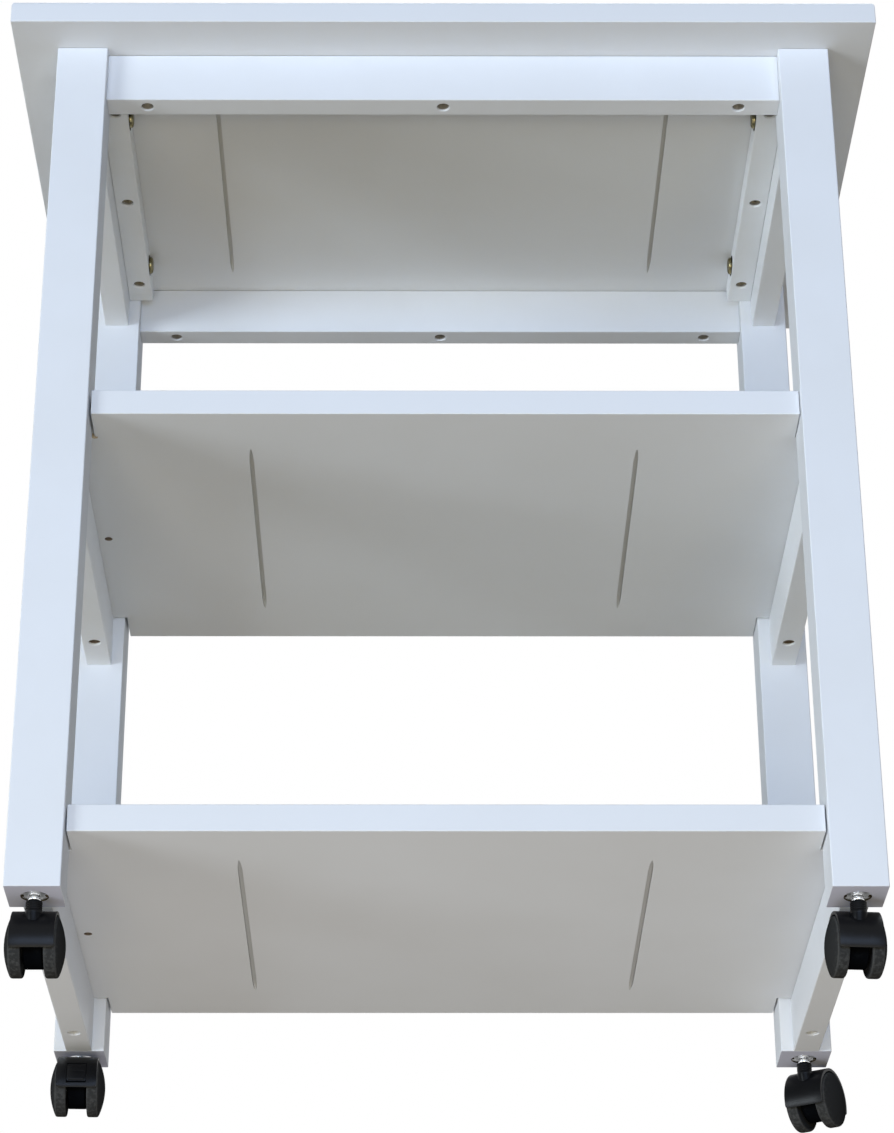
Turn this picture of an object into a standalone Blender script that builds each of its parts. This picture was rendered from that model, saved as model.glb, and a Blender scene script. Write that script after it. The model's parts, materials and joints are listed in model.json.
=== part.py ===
"""A rolling microwave cart: a top and two shelves on four legs, carried by twin-wheel casters.

Metres, +Z up, +X to the right, the front at -Y, the origin on the floor under the middle of the cart.
"""

import math

import bmesh
import bpy
from mathutils import Matrix, Vector

# Legs and rails
FRAME_WIDTH = 0.540  # over the outer faces of the legs
FRAME_DEPTH = 0.340
LEG_SIDE = 0.035
LEG_LENGTH = 0.630
RAIL_THICKNESS = 0.018  # rails and stretchers are cut from one stock
RAIL_HEIGHT = 0.038
BATTEN_WIDTH = 0.018
BATTEN_HEIGHT = 0.015
STOCK_EASE = 0.0015  # sanded edges of legs, rails and battens

# Boards
TOP_OVERHANG = 0.030
TOP_THICKNESS = 0.018
TOP_ROUND = 0.004  # upper edge of the top
BOARD_EASE = 0.0012  # other edges of the top and the shelves
SHELF_THICKNESS = 0.018
SHELF_SETBACK = 0.005  # from the outer faces of the legs
MIDDLE_SHELF_RISE = 0.336  # leg bottoms to the underside of the middle shelf
NOTCH_GAP = 0.001
MIDDLE_SHELF_SHIFT = 0.0006  # to the right, as it was screwed down
GROOVE_WIDTH = 0.003
GROOVE_DEPTH = 0.003
GROOVE_MARGIN = 0.0525  # behind the outer faces of the legs
TOP_GROOVE_SPACING = 0.324
SHELF_GROOVE_SPACING = 0.260
BLIND_HOLE_RADIUS = 0.0025
BLIND_HOLE_DEPTH = 0.006
BLIND_HOLE_MARGIN = 0.007  # beside the left stretcher
BLIND_HOLE_SHIFT = 0.010  # behind the middle of the shelf

# Dowels, glued into the members and pushed into the legs
DOWEL_RADIUS = 0.003
DOWEL_REACH = 0.012
DOWEL_SPACING = 0.020
DOWEL_ROOT = 0.006

# Wood screws
SCREW_RADIUS = 0.002
SCREW_TIP = 0.003
SCREW_BITE = 0.012  # into the board
SCREW_GRIP = 0.010  # wood between head and board
SCREW_HEAD_RADIUS = 0.0034
SCREW_HEAD_HEIGHT = 0.0024
SCREW_SINK_RADIUS = 0.0042  # counterbore
RAIL_SCREW_MARGIN = 0.028  # from the legs
BATTEN_SCREW_MARGIN = 0.023
SHELF_SCREW_MARGIN = 0.037

# Connector bolts through the battens into the side rails
BOLT_RADIUS = 0.003
BOLT_REACH = 0.013
BOLT_HEAD_RADIUS = 0.0065
BOLT_HEAD_HEIGHT = 0.0025
BOLT_SLOT_WIDTH = 0.0014
BOLT_SLOT_DEPTH = 0.0010
BOLT_MARGIN = 0.039  # from the legs

# Threaded inserts in the leg bottoms
INSERT_RADIUS = 0.005
INSERT_LENGTH = 0.020
FLANGE_RADIUS = 0.0088
FLANGE_HEIGHT = 0.0014
FLANGE_RECESS = 0.0006
FLANGE_NOTCH = 0.0022
FLANGE_NOTCH_WIDTH = 0.004

# Casters
CASTER_HEIGHT = 0.046  # floor to leg bottoms
TRAIL = 0.016  # swivel axis to axle
WHEEL_RADIUS = 0.019
WHEEL_WIDTH = 0.0118
WHEEL_GAP = 0.0140  # between the two wheels
WHEEL_CROWN = 0.0044  # how far the outer face swells
TREAD_ROUND = 0.0008
AXLE_RADIUS = 0.0025
AXLE_REACH = 0.0075  # into each wheel
HOOD_WIDTH = 0.0276
HOOD_WALL = 0.0020
HOOD_CORNER = 0.0018
FRONT_SKIRT = math.radians(20)  # how far the hood comes down below the axle
REAR_SKIRT = math.radians(14)
RUNNING_GAP = 0.0010
WEB_GAP = 0.0005  # between web and wheels
DRUM_RADIUS = 0.015
BOSS_RADIUS = 0.0052
BOSS_CLEAR = 0.0035  # leg bottom to boss
BOSS_LENGTH = 0.013
BOSS_TAPER = 0.0045  # below the round part, into the hood
STEM_RADIUS = 0.0033
STEM_DEPTH = 0.012  # into the boss
THREAD_RADIUS = 0.003
THREAD_LENGTH = 0.017

# Brake levers
LEVER_WIDTH = 0.013
LEVER_TOP = math.radians(32)  # upper end of the lever plate, above the axle
LEVER_BOTTOM = math.radians(-3)
LEVER_GAP = math.radians(3.2)  # room for the plate to tip
LEVER_LIP = 0.0014
LEVER_LIP_ANGLE = math.radians(6)
LEVER_HUB = 0.0022
LEVER_ARM_WIDTH = 0.0076
LEVER_PIN_RADIUS = 0.0010
LEVER_PIVOT_RADIUS = 0.0165  # from the axle
LEVER_PIVOT_ANGLE = math.radians(40)

# Caster positions in plan, swivel angle at rest, and whether the caster has a brake
CASTERS = {
    "front_left": (-1, -1, math.radians(0), False),
    "front_right": (1, -1, math.radians(4), True),
    "back_left": (-1, 1, math.radians(182), True),
    "back_right": (1, 1, math.radians(-31), False),
}

FIT = 0.0003  # clearance between pieces that touch
ROUND_SIDES = 8  # dowels, screws and their holes
SINK_SIDES = 12
FLANGE_SIDES = 20
WHEEL_STEPS = 24
HOOD_STEPS = 16
SEAT_STEPS = 7

# Places worked out from the sizes
LEG_BOTTOM = CASTER_HEIGHT
LEG_TOP = LEG_BOTTOM + LEG_LENGTH
LEG_X = (FRAME_WIDTH - LEG_SIDE) / 2
LEG_Y = (FRAME_DEPTH - LEG_SIDE) / 2
INNER_X = FRAME_WIDTH / 2 - LEG_SIDE
INNER_Y = FRAME_DEPTH / 2 - LEG_SIDE
RAIL_BOTTOM = LEG_TOP - RAIL_HEIGHT
TOP_BOTTOM = LEG_TOP + FIT
BATTEN_OUTER_X = LEG_X - RAIL_THICKNESS / 2 - FIT
BATTEN_X = BATTEN_OUTER_X - BATTEN_WIDTH / 2
BATTEN_Z = LEG_TOP - BATTEN_HEIGHT / 2
SHELF_BOTTOMS = {"bottom": LEG_BOTTOM + RAIL_HEIGHT + FIT, "middle": LEG_BOTTOM + MIDDLE_SHELF_RISE}
SHELF_SCREW_Y = INNER_Y - SHELF_SCREW_MARGIN
SCREW_SEAT = LEG_TOP - SCREW_GRIP
INSERT_SEAT = LEG_BOTTOM + FLANGE_RECESS
AXLE_Z = WHEEL_RADIUS
HOOD_INNER = WHEEL_RADIUS + RUNNING_GAP
HOOD_OUTER = HOOD_INNER + HOOD_WALL
WEB_HALF = WHEEL_GAP / 2 - WEB_GAP
LEVER_FOOT = LEVER_TOP / 3  # lower end of the arm
GROOVE_REACH = FRAME_DEPTH / 2 - GROOVE_MARGIN
BOLT_Y = INNER_Y - BOLT_MARGIN
SIDES = {"left": -1, "right": 1}
ENDS = {"front": -1, "back": 1}


def clear_scene():
    for obj in list(bpy.data.objects):
        bpy.data.objects.remove(obj, do_unlink=True)
    for collection in list(bpy.data.collections):
        bpy.data.collections.remove(collection)


def new_collection(name):
    collection = bpy.data.collections.new(name)
    bpy.context.scene.collection.children.link(collection)
    return collection


def finish(name, colour, roughness, metallic=0.0):
    material = bpy.data.materials.new(name)
    material.use_nodes = True
    shader = material.node_tree.nodes["Principled BSDF"]
    shader.inputs["Base Color"].default_value = (*colour, 1)
    shader.inputs["Roughness"].default_value = roughness
    shader.inputs["Metallic"].default_value = metallic
    return material


clear_scene()
PARTS = new_collection("microwave_cart")
CUTTERS = new_collection("cutters")
WHITE_PAINT = finish("white_paint", (0.74, 0.76, 0.77), 0.38)
BLACK_PLASTIC = finish("black_plastic", (0.012, 0.012, 0.014), 0.35)
WHEEL_PLASTIC = finish("wheel_plastic", (0.018, 0.018, 0.018), 0.48)
BRIGHT_STEEL = finish("bright_steel", (0.62, 0.63, 0.64), 0.25, 1.0)
YELLOW_ZINC = finish("yellow_zinc", (0.55, 0.40, 0.13), 0.35, 1.0)


# Mesh building

def add_box(shape, low, high):
    low, high = Vector(low), Vector(high)
    size = high - low
    matrix = Matrix.Translation((low + high) / 2) @ Matrix.Diagonal((*size, 1))
    bmesh.ops.create_cube(shape, size=1, matrix=matrix)
    return shape


def add_rod(shape, start, end, radius, sides, end_radius=None):
    start, end = Vector(start), Vector(end)
    end_radius = radius if end_radius is None else end_radius
    axis = end - start
    turn = axis.to_track_quat("Z", "Y").to_matrix().to_4x4()
    matrix = Matrix.Translation((start + end) / 2) @ turn
    bmesh.ops.create_cone(
        shape, cap_ends=True, segments=sides, radius1=radius, radius2=end_radius, depth=axis.length, matrix=matrix
    )
    return shape


def add_sector(shape, inner, outer, start, end, half_width, steps=HOOD_STEPS):
    """A ring sector about the axle, swept from one angle to another; angles rise from +Y towards +Z."""
    square = bmesh.ops.create_grid(shape, x_segments=1, y_segments=1, size=0.5)["verts"]
    for vert in square:
        across, along = vert.co.x * 2 * half_width, inner + (vert.co.y + 0.5) * (outer - inner)
        vert.co = (across, along * math.cos(start), along * math.sin(start))
    faces = list({face for vert in square for face in vert.link_faces})
    edges = list({edge for vert in square for edge in vert.link_edges})
    bmesh.ops.spin(
        shape, geom=square + edges + faces, cent=(0, 0, 0), axis=(1, 0, 0), angle=end - start, steps=steps
    )
    bmesh.ops.recalc_face_normals(shape, faces=shape.faces)
    return shape


def add_object(name, shape, collection, origin=(0, 0, 0), parent=None):
    """The shape is in its parent's frame; origin becomes the object's own origin in it."""
    bmesh.ops.translate(shape, verts=shape.verts, vec=-Vector(origin))
    mesh = bpy.data.meshes.new(name)
    shape.to_mesh(mesh)
    shape.free()
    obj = bpy.data.objects.new(name, mesh)
    obj.location = origin
    obj.parent = parent
    collection.objects.link(obj)
    return obj


def add_part(name, shape, material, origin=(0, 0, 0), parent=None):
    part = add_object(name, shape, PARTS, origin, parent)
    part.data.materials.append(material)
    return part


def combine(part, operation, shape):
    """Cuts a shape out of a part or joins it on; the shape is in the frame of the part's parent."""
    count = len([modifier for modifier in part.modifiers if modifier.type == "BOOLEAN"])
    tool = add_object(f"{part.name}_tool_{count}", shape, CUTTERS, parent=part.parent)
    tool.hide_render = True
    tool.display_type = "WIRE"
    modifier = part.modifiers.new(f"boolean_{count}", "BOOLEAN")
    modifier.operation = operation
    modifier.solver = "EXACT"
    modifier.object = tool


def cut(part, shape):
    combine(part, "DIFFERENCE", shape)


def join(part, shape):
    combine(part, "UNION", shape)


def smooth(part):
    part.data.shade_smooth()
    part.data.set_sharp_from_angle(angle=math.radians(35))


def turned(name, profile, steps, material, origin, parent=None, axis="Z", closed=False):
    """A round piece from (radius, height) points that run down its outer side; axis is where its height points."""
    shape = bmesh.new()
    verts = [shape.verts.new((radius, 0, height)) for radius, height in profile]
    for first, second in zip(verts, verts[1:]):
        shape.edges.new((first, second))
    if closed:
        shape.edges.new((verts[-1], verts[0]))
    part = add_part(name, shape, material, parent=parent)
    part.location = origin
    turns = {"Z": (0, 0, 0), "X": (0, math.pi / 2, 0), "-X": (0, -math.pi / 2, 0)}
    part.rotation_euler = turns[axis]
    screw = part.modifiers.new("turned", "SCREW")
    screw.steps = steps
    screw.render_steps = steps
    screw.use_merge_vertices = True
    screw.merge_threshold = 0.00005
    return part


def eased_box(low, high, width):
    shape = add_box(bmesh.new(), low, high)
    bmesh.ops.bevel(
        shape, geom=shape.edges[:], offset=width, segments=1, profile=0.5, affect="EDGES", clamp_overlap=True
    )
    return shape


# Wooden frame

def dowel_heights(bottom):
    middle = bottom + RAIL_HEIGHT / 2
    return (middle - DOWEL_SPACING / 2, middle + DOWEL_SPACING / 2)


def stretcher_bottoms():
    return [bottom - FIT - RAIL_HEIGHT for bottom in SHELF_BOTTOMS.values()]


def make_leg(name, side, end):
    x, y = side * LEG_X, end * LEG_Y
    half = LEG_SIDE / 2
    shape = eased_box((x - half, y - half, LEG_BOTTOM), (x + half, y + half, LEG_TOP), STOCK_EASE)
    leg = add_part(name, shape, WHITE_PAINT, (x, y, LEG_BOTTOM))
    holes = bmesh.new()
    radius, depth = DOWEL_RADIUS + FIT, DOWEL_REACH + 2 * FIT
    face_y, face_x = end * INNER_Y, side * INNER_X
    for bottom in [RAIL_BOTTOM, *stretcher_bottoms()]:
        for z in dowel_heights(bottom):
            add_rod(holes, (x, face_y - end * depth, z), (x, face_y + end * depth, z), radius, ROUND_SIDES)
    z = RAIL_BOTTOM + RAIL_HEIGHT / 2
    add_rod(holes, (face_x - side * depth, y, z), (face_x + side * depth, y, z), radius, ROUND_SIDES)
    socket_top = INSERT_SEAT + FLANGE_HEIGHT + INSERT_LENGTH + FIT
    add_rod(holes, (x, y, INSERT_SEAT), (x, y, socket_top), INSERT_RADIUS + FIT, SINK_SIDES)
    cut(leg, holes)
    flange = add_rod(
        bmesh.new(),
        (x, y, LEG_BOTTOM - FLANGE_HEIGHT),
        (x, y, INSERT_SEAT + FLANGE_HEIGHT + FIT),
        FLANGE_RADIUS + FIT,
        FLANGE_SIDES,
    )
    cut(leg, flange)


def sinks(places, bottom, seat):
    """Counterbores from the underside of a member up to where the screw heads sit."""
    shape = bmesh.new()
    for x, y in places:
        add_rod(shape, (x, y, bottom - SCREW_HEAD_HEIGHT), (x, y, seat), SCREW_SINK_RADIUS, SINK_SIDES)
    return shape


def shank_holes(places, seat, top):
    shape = bmesh.new()
    for x, y in places:
        low = (x, y, seat - SCREW_HEAD_HEIGHT)
        add_rod(shape, low, (x, y, top + SCREW_HEAD_HEIGHT), SCREW_RADIUS + FIT, ROUND_SIDES)
    return shape


def rail_screw_places(end):
    return [(step * (INNER_X - RAIL_SCREW_MARGIN), end * LEG_Y) for step in (-1, 0, 1)]


def batten_screw_places(side):
    return [(side * BATTEN_X, step * (INNER_Y - BATTEN_SCREW_MARGIN)) for step in (-1, 0, 1)]


def shelf_screw_places(side):
    return [(side * LEG_X, end * SHELF_SCREW_Y) for end in (-1, 1)]


def make_top_rail(name, end):
    y, half = end * LEG_Y, RAIL_THICKNESS / 2
    reach = INNER_X - FIT
    shape = eased_box((-reach, y - half, RAIL_BOTTOM), (reach, y + half, LEG_TOP), STOCK_EASE)
    rail = add_part(name, shape, WHITE_PAINT, (0, y, RAIL_BOTTOM))
    z = RAIL_BOTTOM + RAIL_HEIGHT / 2
    dowels = bmesh.new()
    for side in (-1, 1):
        root, tip = side * (reach - DOWEL_ROOT), side * (INNER_X + DOWEL_REACH)
        add_rod(dowels, (root, y, z), (tip, y, z), DOWEL_RADIUS, ROUND_SIDES)
    join(rail, dowels)
    places = rail_screw_places(end)
    cut(rail, sinks(places, RAIL_BOTTOM, SCREW_SEAT))
    cut(rail, shank_holes(places, SCREW_SEAT, LEG_TOP))


def make_side_member(name, side, bottom):
    """A side rail or stretcher, with two dowels in each end."""
    x, half = side * LEG_X, RAIL_THICKNESS / 2
    reach = INNER_Y - FIT
    shape = eased_box((x - half, -reach, bottom), (x + half, reach, bottom + RAIL_HEIGHT), STOCK_EASE)
    member = add_part(name, shape, WHITE_PAINT, (x, 0, bottom))
    dowels = bmesh.new()
    for end in (-1, 1):
        for z in dowel_heights(bottom):
            root, tip = end * (reach - DOWEL_ROOT), end * (INNER_Y + DOWEL_REACH)
            add_rod(dowels, (x, root, z), (x, tip, z), DOWEL_RADIUS, ROUND_SIDES)
    join(member, dowels)
    return member


def make_side_rail(name, side):
    rail = make_side_member(name, side, RAIL_BOTTOM)
    holes = bmesh.new()
    face = side * (LEG_X - RAIL_THICKNESS / 2)
    depth = BOLT_REACH + FIT
    for y in (-BOLT_Y, BOLT_Y):
        start, end = (face - side * depth, y, BATTEN_Z), (face + side * depth, y, BATTEN_Z)
        add_rod(holes, start, end, BOLT_RADIUS + FIT, ROUND_SIDES)
    cut(rail, holes)


def make_stretcher(name, side, shelf_bottom):
    """A stretcher whose two shelf screws are made in one with it."""
    top = shelf_bottom - FIT
    bottom, seat = top - RAIL_HEIGHT, top - SCREW_GRIP
    stretcher = make_side_member(name, side, bottom)
    places = shelf_screw_places(side)
    shanks, heads = bmesh.new(), bmesh.new()
    for x, y in places:
        add_rod(shanks, (x, y, top - SCREW_TIP), (x, y, top + SCREW_BITE), SCREW_RADIUS, ROUND_SIDES)
        add_rod(heads, (x, y, seat + SCREW_TIP), (x, y, seat - SCREW_HEAD_HEIGHT), SCREW_HEAD_RADIUS, SINK_SIDES)
    join(stretcher, shanks)
    cut(stretcher, sinks(places, bottom, seat))
    join(stretcher, heads)


def make_batten(name, side):
    inner, outer = BATTEN_X - BATTEN_WIDTH / 2, BATTEN_X + BATTEN_WIDTH / 2
    near, far = sorted((side * inner, side * outer))
    reach, bottom = INNER_Y - FIT, LEG_TOP - BATTEN_HEIGHT
    shape = eased_box((near, -reach, bottom), (far, reach, LEG_TOP), STOCK_EASE)
    batten = add_part(name, shape, WHITE_PAINT, (side * BATTEN_X, 0, bottom))
    places = batten_screw_places(side)
    cut(batten, sinks(places, bottom, SCREW_SEAT))
    cut(batten, shank_holes(places, SCREW_SEAT, LEG_TOP))
    holes = bmesh.new()
    for y in (-BOLT_Y, BOLT_Y):
        start = (side * (inner - BOLT_HEAD_HEIGHT), y, BATTEN_Z)
        end = (side * (outer + BOLT_HEAD_HEIGHT), y, BATTEN_Z)
        add_rod(holes, start, end, BOLT_RADIUS + FIT, ROUND_SIDES)
    cut(batten, holes)


# Boards

def grooves(spacing, underside):
    shape = bmesh.new()
    for side in (-1, 1):
        x, half = side * spacing / 2, GROOVE_WIDTH / 2
        low = (x - half, -GROOVE_REACH, underside - GROOVE_DEPTH)
        add_box(shape, low, (x + half, GROOVE_REACH, underside + GROOVE_DEPTH))
    return shape


def weighted_bevel(part, width, segments):
    bevel = part.modifiers.new("eased", "BEVEL")
    bevel.limit_method = "WEIGHT"
    bevel.width = width
    bevel.segments = segments


def make_top_board():
    reach_x, reach_y = FRAME_WIDTH / 2 + TOP_OVERHANG, FRAME_DEPTH / 2 + TOP_OVERHANG
    shape = add_box(bmesh.new(), (-reach_x, -reach_y, TOP_BOTTOM), (reach_x, reach_y, TOP_BOTTOM + TOP_THICKNESS))
    weights = shape.edges.layers.float.new("bevel_weight_edge")
    middle = TOP_BOTTOM + TOP_THICKNESS / 2
    for edge in shape.edges:
        upper = all(vert.co.z > middle for vert in edge.verts)
        edge[weights] = 1.0 if upper else BOARD_EASE / TOP_ROUND
    top = add_part("top_board", shape, WHITE_PAINT, (0, 0, TOP_BOTTOM))
    weighted_bevel(top, TOP_ROUND, 3)
    cut(top, grooves(TOP_GROOVE_SPACING, TOP_BOTTOM))
    pilots = bmesh.new()
    for end in (-1, 1):
        for x, y in rail_screw_places(end):
            add_pilot(pilots, x, y, TOP_BOTTOM)
    for side in (-1, 1):
        for x, y in batten_screw_places(side):
            add_pilot(pilots, x, y, TOP_BOTTOM)
    cut(top, pilots)


def add_pilot(shape, x, y, underside):
    tip = underside + SCREW_BITE + FIT
    add_rod(shape, (x, y, underside - SCREW_TIP), (x, y, tip), SCREW_RADIUS + FIT, ROUND_SIDES)


def make_shelf(name, underside, shift):
    reach_x, reach_y = FRAME_WIDTH / 2 - SHELF_SETBACK, FRAME_DEPTH / 2 - SHELF_SETBACK
    low, high = (shift - reach_x, -reach_y, underside), (shift + reach_x, reach_y, underside + SHELF_THICKNESS)
    shape = add_box(bmesh.new(), low, high)
    shelf = add_part(name, shape, WHITE_PAINT, (0, 0, underside))
    notches = bmesh.new()
    for side in (-1, 1):
        for end in (-1, 1):
            inner = shift + side * (INNER_X - NOTCH_GAP)
            near = (inner, end * (INNER_Y - NOTCH_GAP), underside - SHELF_THICKNESS)
            far = (side * FRAME_WIDTH / 2, end * FRAME_DEPTH / 2, underside + 2 * SHELF_THICKNESS)
            low = [min(pair) for pair in zip(near, far)]
            high = [max(pair) for pair in zip(near, far)]
            add_box(notches, low, high)
    cut(shelf, notches)
    bevel = shelf.modifiers.new("eased", "BEVEL")
    bevel.width = BOARD_EASE
    bevel.segments = 1
    cut(shelf, grooves(SHELF_GROOVE_SPACING, underside))
    holes = bmesh.new()
    for side in (-1, 1):
        for x, y in shelf_screw_places(side):
            add_pilot(holes, x, y, underside)
    x = -(LEG_X - RAIL_THICKNESS / 2 - BLIND_HOLE_MARGIN)
    start, end = underside - BLIND_HOLE_DEPTH, underside + BLIND_HOLE_DEPTH
    add_rod(holes, (x, BLIND_HOLE_SHIFT, start), (x, BLIND_HOLE_SHIFT, end), BLIND_HOLE_RADIUS, SINK_SIDES)
    cut(shelf, holes)


# Metal fittings

def make_top_screw(name, x, y):
    tip = SCREW_GRIP + FIT + SCREW_BITE
    profile = [
        (0, tip),
        (SCREW_RADIUS, tip - SCREW_TIP),
        (SCREW_RADIUS, -FIT),
        (SCREW_HEAD_RADIUS, -FIT),
        (SCREW_HEAD_RADIUS * 0.8, -SCREW_HEAD_HEIGHT),
        (0, -SCREW_HEAD_HEIGHT),
    ]
    smooth(turned(name, profile, ROUND_SIDES, YELLOW_ZINC, (x, y, SCREW_SEAT)))


def make_bolt(name, side, y):
    """A flat-headed connector bolt; its height runs outward, away from the middle of the cart."""
    head = side * (BATTEN_X - BATTEN_WIDTH / 2 - FIT)
    length = BATTEN_WIDTH + 2 * FIT + BOLT_REACH
    profile = [
        (0, length),
        (BOLT_RADIUS, length),
        (BOLT_RADIUS, 0),
        (BOLT_HEAD_RADIUS, 0),
        (BOLT_HEAD_RADIUS, -BOLT_HEAD_HEIGHT / 2),
        (BOLT_HEAD_RADIUS * 0.8, -BOLT_HEAD_HEIGHT),
        (0, -BOLT_HEAD_HEIGHT),
    ]
    bolt = turned(name, profile, SINK_SIDES, YELLOW_ZINC, (head, y, BATTEN_Z), axis="X" if side > 0 else "-X")
    face = head - side * BOLT_HEAD_HEIGHT
    low = (min(face - side * BOLT_SLOT_DEPTH, face + side * BOLT_SLOT_DEPTH), y - BOLT_SLOT_WIDTH / 2)
    high = (max(face - side * BOLT_SLOT_DEPTH, face + side * BOLT_SLOT_DEPTH), y + BOLT_SLOT_WIDTH / 2)
    slot = add_box(
        bmesh.new(), (*low, BATTEN_Z - 2 * BOLT_HEAD_RADIUS), (*high, BATTEN_Z + 2 * BOLT_HEAD_RADIUS)
    )
    cut(bolt, slot)
    smooth(bolt)


def make_insert(name, x, y):
    bore = THREAD_RADIUS + FIT
    top = FLANGE_HEIGHT + INSERT_LENGTH
    profile = [
        (bore, top),
        (INSERT_RADIUS, top),
        (INSERT_RADIUS, FLANGE_HEIGHT),
        (FLANGE_RADIUS, FLANGE_HEIGHT),
        (FLANGE_RADIUS, 0),
        (bore, 0),
    ]
    insert = turned(name, profile, FLANGE_SIDES, BRIGHT_STEEL, (x, y, INSERT_SEAT), closed=True)
    notches = bmesh.new()
    for side in (-1, 1):
        near, far = sorted((side * (FLANGE_RADIUS - FLANGE_NOTCH), side * 2 * FLANGE_RADIUS))
        low = (x + near, y - FLANGE_NOTCH_WIDTH / 2, INSERT_SEAT - FLANGE_HEIGHT)
        add_box(notches, low, (x + far, y + FLANGE_NOTCH_WIDTH / 2, INSERT_SEAT + 2 * FLANGE_HEIGHT))
    cut(insert, notches)


def make_stem(name, x, y):
    """Threaded into the insert above, a plain pin in the caster boss below, with a shoulder between."""
    boss_top = LEG_BOTTOM - BOSS_CLEAR
    shoulder = LEG_BOTTOM + FLANGE_RECESS - FIT
    profile = [
        (0, THREAD_LENGTH),
        (THREAD_RADIUS, THREAD_LENGTH),
        (THREAD_RADIUS, shoulder - LEG_BOTTOM),
        (STEM_RADIUS, shoulder - LEG_BOTTOM),
        (STEM_RADIUS, boss_top - STEM_DEPTH - LEG_BOTTOM),
        (0, boss_top - STEM_DEPTH - LEG_BOTTOM),
    ]
    smooth(turned(name, profile, SINK_SIDES, BRIGHT_STEEL, (x, y, LEG_BOTTOM)))


# Casters, modelled about their swivel axis with the axle behind it

def is_corner(edge):
    """Whether an edge of a sector runs along a radius at one of its four corners."""
    first, second = edge.verts
    same_side = abs(first.co.x - second.co.x) < FIT / 10
    at_end = len(first.link_edges) == 3 and len(second.link_edges) == 3
    return same_side and at_end and edge.calc_length() < 1.1 * HOOD_WALL


def make_hood(name, swivel, braked):
    """Fender, web, drum and stem boss in one moulding."""
    axle = Matrix.Translation((0, TRAIL, AXLE_Z))
    shape = add_sector(bmesh.new(), HOOD_INNER, HOOD_OUTER, -REAR_SKIRT, math.pi + FRONT_SKIRT, HOOD_WIDTH / 2)
    corners = [edge for edge in shape.edges if is_corner(edge)]
    bmesh.ops.bevel(shape, geom=corners, offset=HOOD_CORNER, segments=2, profile=0.5, affect="EDGES")
    bmesh.ops.transform(shape, matrix=axle, verts=shape.verts)
    hood = add_part(name, shape, BLACK_PLASTIC, parent=swivel)
    wall_middle = HOOD_INNER + HOOD_WALL / 2
    rear_end, front_end = -REAR_SKIRT * 0.7, math.pi + FRONT_SKIRT * 0.7
    web = add_sector(bmesh.new(), AXLE_RADIUS, wall_middle, rear_end, front_end, WEB_HALF)
    bmesh.ops.transform(web, matrix=axle, verts=web.verts)
    join(hood, web)
    drum = add_rod(
        bmesh.new(), (-WEB_HALF + FIT, TRAIL, AXLE_Z), (WEB_HALF - FIT, TRAIL, AXLE_Z), DRUM_RADIUS, WHEEL_STEPS
    )
    join(hood, drum)
    boss_top = LEG_BOTTOM - BOSS_CLEAR
    boss_bottom = boss_top - BOSS_LENGTH
    join(hood, add_rod(bmesh.new(), (0, 0, boss_bottom), (0, 0, boss_top), BOSS_RADIUS, FLANGE_SIDES))
    tip, root = (0, 0, boss_bottom - BOSS_TAPER), (0, 0, boss_bottom + FIT)
    join(hood, add_rod(bmesh.new(), tip, root, BOSS_RADIUS / 2, FLANGE_SIDES, BOSS_RADIUS - FIT / 2))
    depth = STEM_DEPTH + FIT
    bores = add_rod(
        bmesh.new(), (0, 0, boss_top - depth), (0, 0, boss_top + depth), STEM_RADIUS + FIT, SINK_SIDES
    )
    add_rod(bores, (-WHEEL_GAP, TRAIL, AXLE_Z), (WHEEL_GAP, TRAIL, AXLE_Z), AXLE_RADIUS + FIT, SINK_SIDES)
    cut(hood, bores)
    if braked:
        cut_lever_seat(hood, axle)
    smooth(hood)


def lever_pivot():
    return (
        0,
        TRAIL + LEVER_PIVOT_RADIUS * math.cos(LEVER_PIVOT_ANGLE),
        AXLE_Z + LEVER_PIVOT_RADIUS * math.sin(LEVER_PIVOT_ANGLE),
    )


def cut_lever_seat(hood, axle):
    """An opening for the lever plate, a slot in the web for its arm and holes for its pins."""
    _, y, z = lever_pivot()
    slot_inner = LEVER_PIVOT_RADIUS - LEVER_HUB - RUNNING_GAP
    plate_top = LEVER_TOP + LEVER_GAP
    slot_top = LEVER_PIVOT_ANGLE + (LEVER_HUB + RUNNING_GAP) / LEVER_PIVOT_RADIUS
    opening = add_sector(
        bmesh.new(),
        HOOD_INNER - RUNNING_GAP,
        2 * HOOD_OUTER,
        LEVER_BOTTOM - LEVER_GAP,
        plate_top,
        LEVER_WIDTH / 2 + FIT,
        SEAT_STEPS,
    )
    bmesh.ops.transform(opening, matrix=axle, verts=opening.verts)
    cut(hood, opening)
    slot = add_sector(
        bmesh.new(),
        slot_inner,
        HOOD_INNER + FIT,
        LEVER_FOOT - LEVER_GAP,
        slot_top,
        LEVER_ARM_WIDTH / 2 + FIT,
        SEAT_STEPS,
    )
    bmesh.ops.transform(slot, matrix=axle, verts=slot.verts)
    cut(hood, slot)
    cut(hood, add_rod(bmesh.new(), (-WHEEL_GAP, y, z), (WHEEL_GAP, y, z), LEVER_PIN_RADIUS + FIT, SINK_SIDES))


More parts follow.
